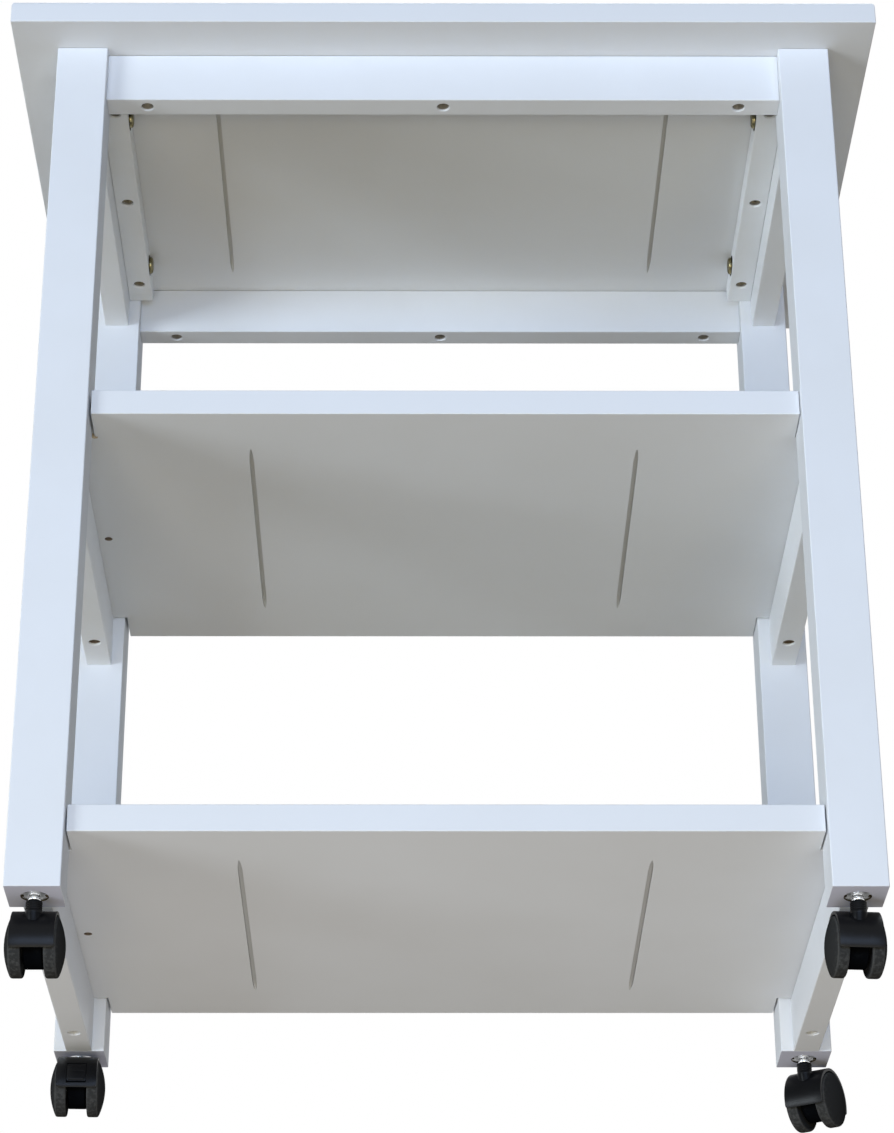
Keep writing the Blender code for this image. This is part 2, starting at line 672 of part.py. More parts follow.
def make_lever(name, swivel):
    """A curved pedal plate on an arm that turns on two pins in the web."""
    axle = Matrix.Translation((0, TRAIL, AXLE_Z))
    pivot = lever_pivot()
    _, y, z = pivot
    plate = add_sector(bmesh.new(), HOOD_INNER, HOOD_OUTER, LEVER_BOTTOM, LEVER_TOP, LEVER_WIDTH / 2, SEAT_STEPS)
    bmesh.ops.transform(plate, matrix=axle, verts=plate.verts)
    lever = add_part(name, plate, BLACK_PLASTIC, pivot, swivel)
    wall_middle = HOOD_INNER + HOOD_WALL / 2
    lip_bottom, lip_top = LEVER_BOTTOM + LEVER_LIP_ANGLE / 8, LEVER_BOTTOM + LEVER_LIP_ANGLE
    lip_half = LEVER_WIDTH / 2 - RUNNING_GAP
    lip = add_sector(bmesh.new(), wall_middle, HOOD_OUTER + LEVER_LIP, lip_bottom, lip_top, lip_half, 2)
    bmesh.ops.transform(lip, matrix=axle, verts=lip.verts)
    join(lever, lip)
    arm_inner, arm_outer = LEVER_PIVOT_RADIUS - LEVER_HUB / 2, LEVER_PIVOT_RADIUS + LEVER_HUB / 2
    arm_half = LEVER_ARM_WIDTH / 2
    link = add_sector(bmesh.new(), arm_inner, wall_middle, LEVER_FOOT, LEVER_TOP * 0.9, arm_half, 4)
    bmesh.ops.transform(link, matrix=axle, verts=link.verts)
    join(lever, link)
    arm = add_sector(
        bmesh.new(), arm_inner + FIT, arm_outer, LEVER_TOP / 2, LEVER_PIVOT_ANGLE, arm_half - FIT / 2, 4
    )
    bmesh.ops.transform(arm, matrix=axle, verts=arm.verts)
    join(lever, arm)
    half, pin = arm_half - FIT, WEB_HALF - FIT
    join(lever, add_rod(bmesh.new(), (-half, y, z), (half, y, z), LEVER_HUB, SINK_SIDES))
    join(lever, add_rod(bmesh.new(), (-pin, y, z), (pin, y, z), LEVER_PIN_RADIUS, SINK_SIDES))
    smooth(lever)


def make_wheel(name, swivel, side):
    """A wheel with a rounded tread and a full, swelling outer face, bored from its inner side."""
    inner, bore = WHEEL_GAP / 2, AXLE_RADIUS + FIT
    outer = inner + WHEEL_WIDTH
    profile = [(WHEEL_RADIUS * t, outer - WHEEL_CROWN * t * t) for t in (0, 0.25, 0.5, 0.75, 0.9, 1)]
    profile += [
        (WHEEL_RADIUS, inner + TREAD_ROUND),
        (WHEEL_RADIUS - TREAD_ROUND, inner),
        (bore, inner),
        (bore, inner + AXLE_REACH + FIT),
        (0, inner + AXLE_REACH + FIT),
    ]
    wheel = turned(
        name, profile, WHEEL_STEPS, WHEEL_PLASTIC, (0, TRAIL, AXLE_Z), swivel, "X" if side > 0 else "-X"
    )
    smooth(wheel)


def make_axle(name, swivel):
    reach = WHEEL_GAP / 2 + AXLE_REACH
    rod = add_rod(bmesh.new(), (-reach, TRAIL, AXLE_Z), (reach, TRAIL, AXLE_Z), AXLE_RADIUS, SINK_SIDES)
    smooth(add_part(name, rod, BRIGHT_STEEL, (0, TRAIL, AXLE_Z), swivel))


def make_caster(corner, side, end, angle, braked):
    x, y = side * LEG_X, end * LEG_Y
    make_insert(f"insert_{corner}", x, y)
    make_stem(f"stem_{corner}", x, y)
    swivel = bpy.data.objects.new(f"swivel_{corner}", None)
    swivel.location = (x, y, 0)
    swivel.rotation_euler.z = angle
    PARTS.objects.link(swivel)
    make_hood(f"hood_{corner}", swivel, braked)
    make_axle(f"axle_{corner}", swivel)
    for word, wheel_side in SIDES.items():
        make_wheel(f"wheel_{corner}_{word}", swivel, wheel_side)
    if braked:
        make_lever(f"brake_lever_{corner}", swivel)


make_top_board()
for word, underside in SHELF_BOTTOMS.items():
    make_shelf(f"{word}_shelf", underside, MIDDLE_SHELF_SHIFT if word == "middle" else 0)
for end_word, end in ENDS.items():
    make_top_rail(f"{end_word}_top_rail", end)
    for index, (x, y) in enumerate(rail_screw_places(end), 1):
        make_top_screw(f"{end_word}_rail_screw_{index}", x, y)
for side_word, side in SIDES.items():
    make_side_rail(f"{side_word}_side_rail", side)
    make_batten(f"{side_word}_batten", side)
    for shelf_word, underside in SHELF_BOTTOMS.items():
        make_stretcher(f"{side_word}_{shelf_word}_stretcher", side, underside)
    for index, (x, y) in enumerate(batten_screw_places(side), 1):
        make_top_screw(f"{side_word}_batten_screw_{index}", x, y)
    for end_word, end in ENDS.items():
        make_leg(f"leg_{end_word}_{side_word}", side, end)
        make_bolt(f"connector_bolt_{end_word}_{side_word}", side, end * BOLT_Y)
for corner, place in CASTERS.items():
    make_caster(corner, *place)
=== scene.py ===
import json
import math

import bmesh
import bpy
from mathutils import Matrix, Vector

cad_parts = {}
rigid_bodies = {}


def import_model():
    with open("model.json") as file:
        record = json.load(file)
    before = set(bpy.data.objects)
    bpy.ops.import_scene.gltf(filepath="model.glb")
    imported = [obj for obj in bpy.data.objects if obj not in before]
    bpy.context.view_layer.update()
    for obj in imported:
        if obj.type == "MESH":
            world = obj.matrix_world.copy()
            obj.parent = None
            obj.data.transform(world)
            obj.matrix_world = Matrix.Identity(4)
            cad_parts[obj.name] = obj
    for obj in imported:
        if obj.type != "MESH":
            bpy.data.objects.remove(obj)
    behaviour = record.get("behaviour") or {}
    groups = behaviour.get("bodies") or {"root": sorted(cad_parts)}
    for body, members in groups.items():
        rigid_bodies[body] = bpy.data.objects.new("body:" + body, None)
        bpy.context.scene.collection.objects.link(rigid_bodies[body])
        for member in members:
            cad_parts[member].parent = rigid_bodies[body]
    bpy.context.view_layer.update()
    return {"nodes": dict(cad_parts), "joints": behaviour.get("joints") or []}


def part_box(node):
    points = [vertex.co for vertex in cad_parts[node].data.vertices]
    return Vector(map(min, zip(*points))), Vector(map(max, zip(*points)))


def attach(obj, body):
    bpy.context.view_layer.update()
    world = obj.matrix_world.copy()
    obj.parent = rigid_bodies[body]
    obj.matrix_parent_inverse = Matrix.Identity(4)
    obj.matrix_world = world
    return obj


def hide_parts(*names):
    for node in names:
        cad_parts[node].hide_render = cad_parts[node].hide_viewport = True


for leftover in list(bpy.data.objects):
    bpy.data.objects.remove(leftover, do_unlink=True)
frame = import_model()
scene = bpy.context.scene
joints = {joint["name"]: joint for joint in frame["joints"]}
sides, ends, levels = ("left", "right"), ("front", "back"), ("middle", "bottom")
corners = ("front_left", "front_right", "back_left", "back_right")
braked = ("front_right", "back_left")
print("frame loaded:", len(frame["nodes"]), "nodes")


# camera, from the photograph's own perspective
photoView = {
    "frame": (894, 1133),  # pixels, as are the next two
    "focal": 3162.193,
    "middle": (426.876, 565.031),
    "place": (-0.0184, -1.964, -0.6766),
    "turn": 0.2211,  # degrees, as are the next two
    "rise": 27.7259,
    "roll": -0.0702,
    "sensor": 36,
}


def placeCamera(view):
    wide, high = view["frame"]
    turn, rise, roll = (math.radians(view[key]) for key in ("turn", "rise", "roll"))
    forward = Vector((math.sin(turn) * math.cos(rise), math.cos(turn) * math.cos(rise), math.sin(rise)))
    level = Vector((math.cos(turn), -math.sin(turn), 0))
    upright = level.cross(forward)
    right = math.cos(roll) * level + math.sin(roll) * upright
    up = math.cos(roll) * upright - math.sin(roll) * level
    lens = bpy.data.cameras.new("photoCamera")
    lens.sensor_fit = "VERTICAL"
    lens.sensor_width = lens.sensor_height = view["sensor"]
    lens.lens = view["focal"] / high * view["sensor"]
    lens.shift_x = (wide / 2 - view["middle"][0] - 0.5) / high
    lens.shift_y = (view["middle"][1] + 0.5 - high / 2) / high
    camera = bpy.data.objects.new("photoCamera", lens)
    turned = Matrix((right, up, -forward)).transposed().to_4x4()
    camera.matrix_world = Matrix.Translation(view["place"]) @ turned
    scene.collection.objects.link(camera)
    scene.camera = camera


placeCamera(photoView)
scene.view_settings.view_transform = "Standard"


# node helpers
def isSocket(value):
    return isinstance(value, bpy.types.NodeSocket)


def addNode(tree, kind, values=None, **settings):
    node = tree.nodes.new(kind)
    for key, value in settings.items():
        setattr(node, key, value)
    for key, value in (values or {}).items():
        if isSocket(value):
            tree.links.new(value, node.inputs[key])
        else:
            node.inputs[key].default_value = value
    return node


def addNoise(tree, vector, scale, detail=2.0, rough=0.5):
    values = {"Vector": vector, "Scale": scale, "Detail": detail, "Roughness": rough}
    return addNode(tree, "ShaderNodeTexNoise", values).outputs["Fac"]


def addMath(tree, operation, first, second):
    return addNode(tree, "ShaderNodeMath", {0: first, 1: second}, operation=operation).outputs[0]


def addRange(tree, value, low, high, toLow=0.0, toHigh=1.0):
    values = {"Value": value, "From Min": low, "From Max": high, "To Min": toLow, "To Max": toHigh}
    return addNode(tree, "ShaderNodeMapRange", values).outputs["Result"]


def addMix(tree, factor, first, second):
    first, second = (colour if isSocket(colour) else (*colour, 1) for colour in (first, second))
    return addNode(tree, "ShaderNodeMix", {0: factor, 6: first, 7: second}, data_type="RGBA").outputs[2]


def addBump(tree, shader, height, strength, distance):
    values = {"Height": height, "Strength": strength, "Distance": distance}
    bump = addNode(tree, "ShaderNodeBump", values)
    tree.links.new(bump.outputs["Normal"], shader.inputs["Normal"])


def newGroup(name, inputs, outputs):
    tree = bpy.data.node_groups.new(name, "ShaderNodeTree")
    for direction, sockets in (("INPUT", inputs), ("OUTPUT", outputs)):
        for title, kind in sockets.items():
            tree.interface.new_socket(title, in_out=direction, socket_type="NodeSocket" + kind)
    return tree, tree.nodes.new("NodeGroupInput").outputs, tree.nodes.new("NodeGroupOutput").inputs


def useGroup(tree, group, values):
    return addNode(tree, "ShaderNodeGroup", values, node_tree=group).outputs


def newMaterial(name, values):
    material = bpy.data.materials.new(name)
    material.use_nodes = True
    tree = material.node_tree
    shader = tree.nodes["Principled BSDF"]
    for key, value in values.items():
        shader.inputs[key].default_value = value
    where = tree.nodes.new("ShaderNodeTexCoord").outputs["Object"]
    return material, tree, shader, where


# shared effects
cloudLook = {"contrast": (0.32, 0.68), "peel": ((520.0, 0.45), (95.0, 0.55))}  # scale and share of each layer
scuffLook = {"start": 0.78, "fall": 0.5, "soft": 0.14, "grain": 9.0}
chipLook = {"scale": 420.0, "ragged": (0.6, 1.4), "soft": 0.75}


def makeCloudGroup():
    # slow unevenness of a sprayed coat, and its fine orange peel
    tree, given, made = newGroup(
        "paintCloud", {"Vector": "Vector", "Scale": "Float"}, {"Cloud": "Float", "Peel": "Float"}
    )
    cloud = addNoise(tree, given["Vector"], given["Scale"], 3.0, 0.55)
    tree.links.new(addRange(tree, cloud, *cloudLook["contrast"]), made["Cloud"])
    layers = []
    for scale, share in cloudLook["peel"]:
        layers.append(addMath(tree, "MULTIPLY", addNoise(tree, given["Vector"], scale), share))
    tree.links.new(addMath(tree, "ADD", *layers), made["Peel"])
    return tree


def makeScuffGroup():
    # patches that grow with the amount, and a finer grain
    tree, given, made = newGroup(
        "scuffs", {"Vector": "Vector", "Scale": "Float", "Amount": "Float"}, {"Mask": "Float", "Grain": "Float"}
    )
    patchy = addNoise(tree, given["Vector"], given["Scale"], 4.0, 0.65)
    fall = addMath(tree, "MULTIPLY", given["Amount"], scuffLook["fall"])
    start = addMath(tree, "SUBTRACT", scuffLook["start"], fall)
    full = addMath(tree, "ADD", start, scuffLook["soft"])
    tree.links.new(addRange(tree, patchy, start, full), made["Mask"])
    finer = addMath(tree, "MULTIPLY", given["Scale"], scuffLook["grain"])
    tree.links.new(addNoise(tree, given["Vector"], finer), made["Grain"])
    return tree


def makeChipGroup():
    # one ragged spot where the paint has come off
    tree, given, made = newGroup(
        "paintChip", {"Vector": "Vector", "Centre": "Vector", "Size": "Float"}, {"Mask": "Float"}
    )
    apart = addNode(tree, "ShaderNodeVectorMath", {0: given["Vector"], 1: given["Centre"]}, operation="DISTANCE")
    ragged = addRange(tree, addNoise(tree, given["Vector"], chipLook["scale"]), 0.3, 0.7, *chipLook["ragged"])
    reach = addMath(tree, "DIVIDE", addMath(tree, "MULTIPLY", apart.outputs["Value"], ragged), given["Size"])
    tree.links.new(addRange(tree, reach, 1.0, chipLook["soft"]), made["Mask"])
    return tree


cloudGroup, scuffGroup, chipGroup = makeCloudGroup(), makeScuffGroup(), makeChipGroup()


# finishes
paintLook = {
    "white": (0.765, 0.785, 0.815),
    "shade": (0.745, 0.762, 0.785),
    "bare": (0.52, 0.42, 0.29),
    "roughness": (0.38, 0.48),
    "peelDepth": 0.0002,
    "chip": (-0.2340, -0.1340, 0.3822),  # inner corner of the middle shelf's front left notch
    "chipSize": 0.0024,
}
stockCoat = {"cloud": 14.0, "peel": 0.10}
boardCoat = {"cloud": 7.0, "peel": 0.06}


def paintFinish(name, coat, gloss, tone=(1, 1, 1), chipped=False):
    material, tree, shader, where = newMaterial(name, {"Specular IOR Level": gloss})
    cloud = useGroup(tree, cloudGroup, {"Vector": where, "Scale": coat["cloud"]})
    white, shade = ([a * b for a, b in zip(paintLook[key], tone)] for key in ("white", "shade"))
    colour = addMix(tree, cloud["Cloud"], white, shade)
    if chipped:
        values = {"Vector": where, "Centre": paintLook["chip"], "Size": paintLook["chipSize"]}
        colour = addMix(tree, useGroup(tree, chipGroup, values)["Mask"], colour, paintLook["bare"])
    tree.links.new(colour, shader.inputs["Base Color"])
    tree.links.new(addRange(tree, cloud["Cloud"], 0, 1, *paintLook["roughness"]), shader.inputs["Roughness"])
    addBump(tree, shader, cloud["Peel"], coat["peel"], paintLook["peelDepth"])
    return material


bareLook = {"roughness": 0.85, "gloss": 0.2, "scale": 240.0, "amount": 0.6, "bump": (0.6, 0.0004)}


def bareFinish(name, dark, light):
    values = {"Roughness": bareLook["roughness"], "Specular IOR Level": bareLook["gloss"]}
    material, tree, shader, where = newMaterial(name, values)
    values = {"Vector": where, "Scale": bareLook["scale"], "Amount": bareLook["amount"]}
    scuff = useGroup(tree, scuffGroup, values)
    tree.links.new(addMix(tree, scuff["Mask"], dark, light), shader.inputs["Base Color"])
    addBump(tree, shader, scuff["Grain"], *bareLook["bump"])
    return material


hoodLook = {
    "black": (0.0026, 0.0029, 0.0036),
    "dust": (0.008, 0.009, 0.010),
    "dustShare": 0.5,
    "scale": 130.0,
    "amount": 0.35,
    "roughness": (0.30, 0.38),
    "grain": 2600.0,
    "bump": (0.12, 0.0001),
}


def hoodFinish(name, gloss):
    material, tree, shader, where = newMaterial(name, {"Specular IOR Level": gloss})
    values = {"Vector": where, "Scale": hoodLook["scale"], "Amount": hoodLook["amount"]}
    scuff = useGroup(tree, scuffGroup, values)
    dusty = addMath(tree, "MULTIPLY", scuff["Mask"], hoodLook["dustShare"])
    tree.links.new(addMix(tree, dusty, hoodLook["black"], hoodLook["dust"]), shader.inputs["Base Color"])
    rough = addRange(tree, scuff["Grain"], 0.3, 0.7, *hoodLook["roughness"])
    tree.links.new(rough, shader.inputs["Roughness"])
    addBump(tree, shader, addNoise(tree, where, hoodLook["grain"]), *hoodLook["bump"])
    return material


wheelLook = {
    "side": (0.028, 0.028, 0.028),
    # edge: lighter rim lines, worn edges and painted highlight
    "tread": (0.031, 0.031, 0.030),
    "edge": (0.062, 0.062, 0.060),
    "scuff": (0.065, 0.065, 0.062),
    "scuffShare": 0.7,
    "scale": 420.0,
    "amount": 0.62,
    "roughness": (0.40, 0.62),
    "bump": (0.2, 0.00015),
}


def wheelFinish():
    # the band runs from the side (0) over the tread (0.5) to its edges (1), lighter there as worn edges and as
    # painted highlight
    material, tree, shader, where = newMaterial("wheelBlack", {"Specular IOR Level": 0.0})
    band = addNode(tree, "ShaderNodeAttribute", attribute_name="treadBand").outputs["Fac"]
    values = {"Vector": where, "Scale": wheelLook["scale"], "Amount": wheelLook["amount"]}
    scuff = useGroup(tree, scuffGroup, values)
    tread, edge = addRange(tree, band, 0.0, 0.5), addRange(tree, band, 0.55, 1.0)
    worn = addMath(tree, "MULTIPLY", addMath(tree, "MULTIPLY", scuff["Mask"], tread), wheelLook["scuffShare"])
    rubbedAndHighlight = addMath(tree, "MULTIPLY", edge, addRange(tree, scuff["Grain"], 0.35, 0.6, 0.35, 1.0))
    colour = addMix(tree, tread, wheelLook["side"], wheelLook["tread"])
    colour = addMix(tree, worn, colour, wheelLook["scuff"])
    # lighter rim lines: worn edges and painted highlight
    colour = addMix(tree, rubbedAndHighlight, colour, wheelLook["edge"])
    tree.links.new(colour, shader.inputs["Base Color"])
    tree.links.new(addRange(tree, band, 0, 1, *wheelLook["roughness"]), shader.inputs["Roughness"])
    addBump(tree, shader, scuff["Grain"], *wheelLook["bump"])
    return material


metalLook = {"scale": 300.0, "amount": 0.55, "bump": (0.08, 0.0001)}


def metalFinish(name, bright, dull, smooth, rough):
    material, tree, shader, where = newMaterial(name, {"Metallic": 1.0})
    values = {"Vector": where, "Scale": metalLook["scale"], "Amount": metalLook["amount"]}
    scuff = useGroup(tree, scuffGroup, values)
    tree.links.new(addMix(tree, scuff["Mask"], bright, dull), shader.inputs["Base Color"])
    tree.links.new(addRange(tree, scuff["Grain"], 0.3, 0.7, smooth, rough), shader.inputs["Roughness"])
    addBump(tree, shader, scuff["Grain"], *metalLook["bump"])
    return material


legWhite = paintFinish("legWhite", stockCoat, 0.0)
railWhite = paintFinish("railWhite", stockCoat, 0.05)
# the leg ends get a darker, bluer copy of the white paint: painted shade for the cool dim light on the leg bottoms
legEndPaintedShade = paintFinish("legEndPaintedShade", stockCoat, 0.0, (0.80, 0.80, 0.92))  # leg ends
# the side frames get a copy of the white paint lifted 12%, painted light that brightens their dimly lit faces; it is
# also glossier
satinWhitePaintedLight = paintFinish("satinWhitePaintedLight", stockCoat, 0.35, (1.12, 1.12, 1.11))  # side frames
boardWhite = paintFinish("boardWhite", boardCoat, 0.05)
# a darker copy of the board paint for the groove walls: painted shade inside the kerfs
kerfPaintedShade = paintFinish("kerfPaintedShade", boardCoat, 0.0, (0.88, 0.87, 0.845))  # inside the grooves
chippedWhite = paintFinish("shelfWhite", boardCoat, 0.05, chipped=True)
bareBoard = bareFinish("bareBoard", (0.18, 0.14, 0.105), (0.27, 0.22, 0.17))
# near-black board for the leg recesses, bolt seats and flange notches: painted shade in these hollows
recessPaintedShade = bareFinish("recessPaintedShade", (0.05, 0.04, 0.025), (0.09, 0.07, 0.045))
sprayedBoard = bareFinish("sprayedBoard", (0.36, 0.345, 0.33), (0.48, 0.465, 0.45))
hoodBlack = hoodFinish("hoodBlack", 0.13)
drumBlack = hoodFinish("drumBlack", 0.0)
bossBlack = hoodFinish("bossBlack", 0.06)
wheelBlack = wheelFinish()
brightSteel = metalFinish("brightSteel", (0.78, 0.79, 0.80), (0.62, 0.63, 0.64), 0.18, 0.30)
plateSteel = metalFinish("plateSteel", (0.74, 0.75, 0.76), (0.60, 0.61, 0.62), 0.34, 0.48)
agedZinc = metalFinish("agedZinc", (0.22, 0.18, 0.11), (0.13, 0.11, 0.08), 0.38, 0.52)
dullBrass = metalFinish("dullBrass", (0.24, 0.21, 0.11), (0.11, 0.10, 0.06), 0.24, 0.36)
print("finishes made:", len(bpy.data.materials))


# piece helpers
shading = {"sharp": 38.0, "weight": 80}
cutOver = 0.002  # how far a cutter reaches out past the face it enters


def newPiece(name, shape, materials, body, stands=(), sharp=shading["sharp"]):
    mesh = bpy.data.meshes.new(name)
    shape.to_mesh(mesh)
    shape.free()
    piece = bpy.data.objects.new(name, mesh)
    scene.collection.objects.link(piece)
    for material in materials:
        mesh.materials.append(material)
    shadeEdges(piece, sharp)
    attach(piece, body)
    if stands:
        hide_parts(*stands)
    return piece


def shadeEdges(piece, sharp):
    piece.data.shade_smooth()
    piece.data.set_sharp_from_angle(angle=math.radians(sharp))


def weightNormals(piece):
    shadeEdges(piece, shading["sharp"])
    weigh = piece.modifiers.new("faceWeights", "WEIGHTED_NORMAL")
    weigh.keep_sharp = True
    weigh.weight = shading["weight"]


def onlyKind(geom, kind):
    return [item for item in geom if isinstance(item, kind)]


def addBox(shape, low, high):
    low, high = Vector(low), Vector(high)
    place = Matrix.Translation((low + high) / 2) @ Matrix.Diagonal((*(high - low), 1))
    bmesh.ops.create_cube(shape, size=1, matrix=place)


def roundOff(shape, geom, width, segments, affect="EDGES"):
    bmesh.ops.bevel(
        shape, geom=geom, offset=width, offset_type="OFFSET", segments=segments, profile=0.5,
        affect=affect, clamp_overlap=True, material=-1,
    )


def runAlong(edge, axis):
    return abs(edge.verts[0].co[axis] - edge.verts[1].co[axis])


def lathe(shape, profile, steps, place=Matrix()):
    # profile runs as (radius, height) about the Z axis
    turned = bmesh.new()
    chain = [turned.verts.new((radius, 0, height)) for radius, height in profile]
    edges = [turned.edges.new(pair) for pair in zip(chain, chain[1:])]
    bmesh.ops.spin(
        turned, geom=chain + edges, cent=(0, 0, 0), axis=(0, 0, 1), angle=2 * math.pi, steps=steps, use_merge=True
    )
    bmesh.ops.remove_doubles(turned, verts=turned.verts, dist=1e-7)
    bmesh.ops.recalc_face_normals(turned, faces=turned.faces)
    bmesh.ops.transform(turned, matrix=place, verts=turned.verts)
    addShape(shape, turned)


def mirrored(profile):
    return profile + [(radius, -height) for radius, height in reversed(profile)]


def addShape(shape, other):
    mesh = bpy.data.meshes.new("joined")
    other.to_mesh(mesh)
    other.free()
    shape.from_mesh(mesh)
    bpy.data.meshes.remove(mesh)


def carve(piece, shape, materials):
    # takes a shape out of a piece; the cut faces keep the shape's own materials
    mesh = bpy.data.meshes.new("cutter")
    shape.to_mesh(mesh)
    shape.free()
    for material in materials:
        mesh.materials.append(material)
    cutter = bpy.data.objects.new("cutter", mesh)
    scene.collection.objects.link(cutter)
    tool = piece.modifiers.new("carve", "BOOLEAN")
    tool.operation, tool.solver, tool.material_mode, tool.object = "DIFFERENCE", "EXACT", "TRANSFER", cutter
    graph = bpy.context.evaluated_depsgraph_get()
    carved = bpy.data.meshes.new_from_object(piece.evaluated_get(graph))
    old = piece.data
    piece.modifiers.clear()
    piece.data = carved
    bpy.data.meshes.remove(old)
    bpy.data.objects.remove(cutter)
    bpy.data.meshes.remove(mesh)


def middleOf(node):
    low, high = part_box(node)
    return (low + high) / 2


# painted stock
stock = {"ease": 0.0008, "endEase": 0.0002, "segments": 3, "fit": 0.0003, "joint": 0.0001}
legBoxes = {corner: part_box("leg_" + corner) for corner in corners}
innerX = legBoxes["front_right"][0].x
innerY, outerY = (limit.y for limit in legBoxes["back_right"])
legBottom, legTop = (limit.z for limit in legBoxes["front_left"])


def stockPiece(node, low, high, paint, shadedEndPaint=None):
    low, high = Vector(low), Vector(high)
    along = max(range(3), key=lambda axis: high[axis] - low[axis])
    shape = bmesh.new()
    addBox(shape, low, high)
    arrises = [edge for edge in shape.edges if runAlong(edge, along) > 1e-4]
    roundOff(shape, arrises, stock["ease"], stock["segments"])
    tips = [edge for edge in shape.edges if runAlong(edge, along) < 1e-6]
    roundOff(shape, tips, stock["endEase"], 1)
    paints = [paint]
    # end faces can take a second paint; the legs use it as painted shade
    if shadedEndPaint:
        paints.append(shadedEndPaint)
        for face in shape.faces:
            face.material_index = 1 if abs(face.normal[along]) > 0.9 else 0
    return newPiece(node + "_wood", shape, paints, "cart", [node])


bore = {
    "radius": 0.0042,
    "flare": 0.0005,
    "painted": 0.0015,  # how far the spray reaches in
    "sides": 28,
    "grip": 0.010,  # wood left above a screw's head
    "margin": 0.037,  # from the legs to the shelf screws
}


def drill(piece, places, mouth, seat, paints):
    # screw holes from below, with their own finish past the sprayed mouth
    radius, flare, painted = bore["radius"], bore["flare"], bore["painted"]
    depth = seat - mouth
    profile = [
        (0, depth), (radius, depth), (radius, painted), (radius, flare * 1.6), (radius + flare * 0.35, flare * 0.6),
        (radius + flare, 0), (radius + flare, -cutOver), (0, -cutOver),
    ]
    holes = bmesh.new()
    for x, y in places:
        lathe(holes, profile, bore["sides"], Matrix.Translation((x, y, mouth)))
    for face in holes.faces:
        face.material_index = 1 if face.calc_center_median().z > mouth + painted else 0
    carve(piece, holes, paints)


def screwPlaces(member):
    return [middleOf(f"{member}_screw_{index}").xy for index in (1, 2, 3)]


def shelfScrewPlaces(side, level):
    x, y = middleOf(f"{side}_{level}_stretcher").x, innerY - bore["margin"]
    return [(x, -y), (x, y)]


recess = {"gap": 0.00025, "rim": 0.0020, "slope": 0.0003, "step": 0.0002, "deep": 0.0035, "sides": 48}


def legPiece(corner):
    # the lower end has a recess for the insert's flange; the recess inside is near-black, painted shade
    leg = stockPiece("leg_" + corner, *legBoxes[corner], legWhite, legEndPaintedShade)
    low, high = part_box("insert_" + corner)
    wide = (high.x - low.x) / 2 + recess["gap"]
    narrow = wide - recess["step"]
    profile = [
        (0, recess["deep"]), (narrow, recess["deep"]), (narrow, recess["rim"] + recess["slope"]),
        (wide, recess["rim"]), (wide, -cutOver), (0, -cutOver),
    ]
    centre = middleOf("leg_" + corner)
    pocket = bmesh.new()
    lathe(pocket, profile, recess["sides"], Matrix.Translation((centre.x, centre.y, legBottom)))
    for face in pocket.faces:
        face.material_index = 1 if face.calc_center_median().z > legBottom - cutOver / 4 else 0
    carve(leg, pocket, [legWhite, recessPaintedShade])
    weightNormals(leg)


def topRailPiece(end):
    low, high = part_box(end + "_top_rail")
    reach = innerX - stock["joint"]
    rail = stockPiece(end + "_top_rail", (-reach, low.y, low.z), (reach, high.y, high.z), railWhite)
    drill(rail, screwPlaces(end + "_rail"), low.z, legTop - bore["grip"], [railWhite, sprayedBoard])
    weightNormals(rail)


def sideRailPiece(side):
    low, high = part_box(side + "_side_rail")
    reach = innerY - stock["joint"]
    rail = stockPiece(side + "_side_rail", (low.x, -reach, low.z), (high.x, reach, high.z), satinWhitePaintedLight)
    weightNormals(rail)


def stretcherPiece(side, level):
    node = f"{side}_{level}_stretcher"
    low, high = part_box(node)
    reach = innerY - stock["joint"]
    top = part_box(level + "_shelf")[0].z - stock["fit"]
    # the middle stretchers take the lifted white, painted light; the bottom ones take the plain rail white
    paint, inside = (satinWhitePaintedLight, bareBoard) if level == "middle" else (railWhite, railWhite)
    stretcher = stockPiece(node, (low.x, -reach, low.z), (high.x, reach, top), paint)
    drill(stretcher, shelfScrewPlaces(side, level), low.z, top - bore["grip"], [paint, inside])
    weightNormals(stretcher)


boltSeat = {"radius": 0.0067, "stretch": 1.6, "depth": 0.0020, "sides": 40}


def battenPiece(side):
    node = side + "_batten"
    low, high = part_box(node)
    if side == "left":
        low.x -= stock["fit"] - stock["joint"]
    else:
        high.x += stock["fit"] - stock["joint"]
    batten = stockPiece(node, low, high, satinWhitePaintedLight)
    drill(batten, screwPlaces(node), low.z, legTop - bore["grip"], [satinWhitePaintedLight, sprayedBoard])
    face = high.x if side == "left" else low.x
    turn = Matrix.Diagonal((1, boltSeat["stretch"], 1, 1)) @ Matrix.Rotation(math.pi / 2, 4, "Y")
    profile = mirrored([(0, -boltSeat["depth"]), (boltSeat["radius"], -boltSeat["depth"])])
    seats = bmesh.new()
    for end in ends:
        place = middleOf(f"connector_bolt_{end}_{side}")
        lathe(seats, profile, boltSeat["sides"], Matrix.Translation((face, place.y, place.z)) @ turn)
    # the bolt seats are near-black, painted shade around the heads
    carve(batten, seats, [recessPaintedShade])
    weightNormals(batten)


for corner in corners:
    legPiece(corner)
for end in ends:
    topRailPiece(end)
for side in sides:
    sideRailPiece(side)
    for level in levels:
        stretcherPiece(side, level)
    battenPiece(side)
print("legs, rails, stretchers and battens made")


# painted boards
board = {"ease": 0.0007, "topRound": 0.004, "segments": 4, "notchGap": 0.001}
groove = {
    "width": 0.003, "depth": 0.003, "margin": 0.0525, "top": 0.324, "shelf": 0.260,
    "runOut": 0.016, "shares": (0.0, 0.3, 0.6, 1.0), "tip": 0.2, "tipDepth": 0.0001,
}


